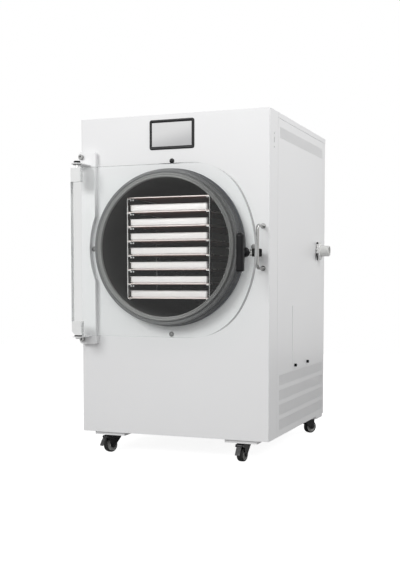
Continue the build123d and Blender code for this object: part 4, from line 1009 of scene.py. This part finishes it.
def buildFloor(look):
    half = look["floorSize"] / 2
    mesh = bpy.data.meshes.new("floor")
    mesh.from_pydata([(-half, -half, 0), (half, -half, 0), (half, half, 0), (-half, half, 0)], [], [(0, 1, 2, 3)])
    floor = bpy.data.objects.new("floor", mesh)
    bpy.context.scene.collection.objects.link(floor)
    material, nodes, links, shader = startMaterial("floorPale")
    shader.inputs["Base Color"].default_value = (*look["floorColour"], 1)
    shader.inputs["Roughness"].default_value = look["floorRoughness"]
    shader.inputs["Emission Color"].default_value = (1, 1, 1, 1)
    # the floor glows for the camera and, a little less, for what is seen through the acrylic
    ray = nodes.new("ShaderNodeLightPath")
    seen = addMath(nodes, "MULTIPLY", look["floorGlow"])
    behind = addMath(nodes, "MULTIPLY_ADD", look["glowThroughGlass"])
    links.new(ray.outputs["Is Camera Ray"], seen.inputs[0])
    links.new(ray.outputs["Is Transmission Ray"], behind.inputs[0])
    links.new(seen.outputs["Value"], behind.inputs[2])
    links.new(behind.outputs["Value"], shader.inputs["Emission Strength"])
    mesh.materials.append(material)


def buildWorld(look):
    world = bpy.data.worlds.new("studio")
    bpy.context.scene.world = world
    world.use_nodes = True
    nodes, links = world.node_tree.nodes, world.node_tree.links
    back = nodes["Background"]
    back.inputs["Color"].default_value = (1, 1, 1, 1)
    # the camera and gloss see plain white, glass a little less, and the object is lit by the softer ambient level
    ray = nodes.new("ShaderNodeLightPath")
    seen = ray.outputs["Is Camera Ray"]
    for kind in ("Is Glossy Ray", "Is Transmission Ray"):
        either = addMath(nodes, "MAXIMUM")
        links.new(seen, either.inputs[0])
        links.new(ray.outputs[kind], either.inputs[1])
        seen = either.outputs["Value"]
    dimmed = addMath(nodes, "MULTIPLY_ADD", look["throughGlass"] - 1)
    links.new(ray.outputs["Is Transmission Ray"], dimmed.inputs[0])
    links.new(seen, dimmed.inputs[2])
    direct = addMath(nodes, "SUBTRACT")
    direct.use_clamp = True
    strength = nodes.new("ShaderNodeMapRange")
    strength.inputs["To Min"].default_value, strength.inputs["To Max"].default_value = look["ambient"], 1.0
    links.new(dimmed.outputs["Value"], direct.inputs[0])
    links.new(ray.outputs["Diffuse Depth"], direct.inputs[1])
    links.new(direct.outputs["Value"], strength.inputs["Value"])
    links.new(strength.outputs["Result"], back.inputs["Strength"])


lamps = {
    # where each soft lamp stands, what it points at, its size and its power in watts
    "keyLamp": dict(place=(-2.4, -6.0, 3.6), aim=(0.0, -0.3, 0.7), size=2.2, power=164.0),
    "frontLamp": dict(place=(0.2, -2.6, 1.6), aim=(0.0, -0.3, 0.65), size=1.2, power=12.0),
    "sideLamp": dict(place=(2.4, -0.3, 2.2), aim=(0.33, 0.0, 0.9), size=1.2, power=28.0),
}


def buildLamps(lamps):
    for name, lamp in lamps.items():
        light = bpy.data.lights.new(name, "AREA")
        light.shape, light.size, light.energy = "SQUARE", lamp["size"], lamp["power"]
        holder = bpy.data.objects.new(name, light)
        holder.location = lamp["place"]
        holder.rotation_euler = (Vector(lamp["aim"]) - Vector(lamp["place"])).to_track_quat("-Z", "Y").to_euler()
        holder.visible_transmission = False
        bpy.context.scene.collection.objects.link(holder)


cameraLook = {"eye": (1.2464, -3.3122, 0.6185), "yaw": 0.3699, "dip": 0.0612, "sensor": 36.0, "lens": 59.56,
              "shiftY": 0.0941}


def buildCamera(look):
    lens = bpy.data.cameras.new("camera")
    lens.sensor_width, lens.lens, lens.shift_y = look["sensor"], look["lens"], look["shiftY"]
    camera = bpy.data.objects.new("camera", lens)
    camera.location = look["eye"]
    camera.rotation_euler = (math.pi / 2 - look["dip"], 0, look["yaw"])
    bpy.context.scene.collection.objects.link(camera)
    bpy.context.scene.camera = camera


buildFloor(stageLook)
buildWorld(stageLook)
buildLamps(lamps)
buildCamera(cameraLook)
bpy.context.scene.view_settings.view_transform = "Standard"
print("stage, lamps and camera ready")
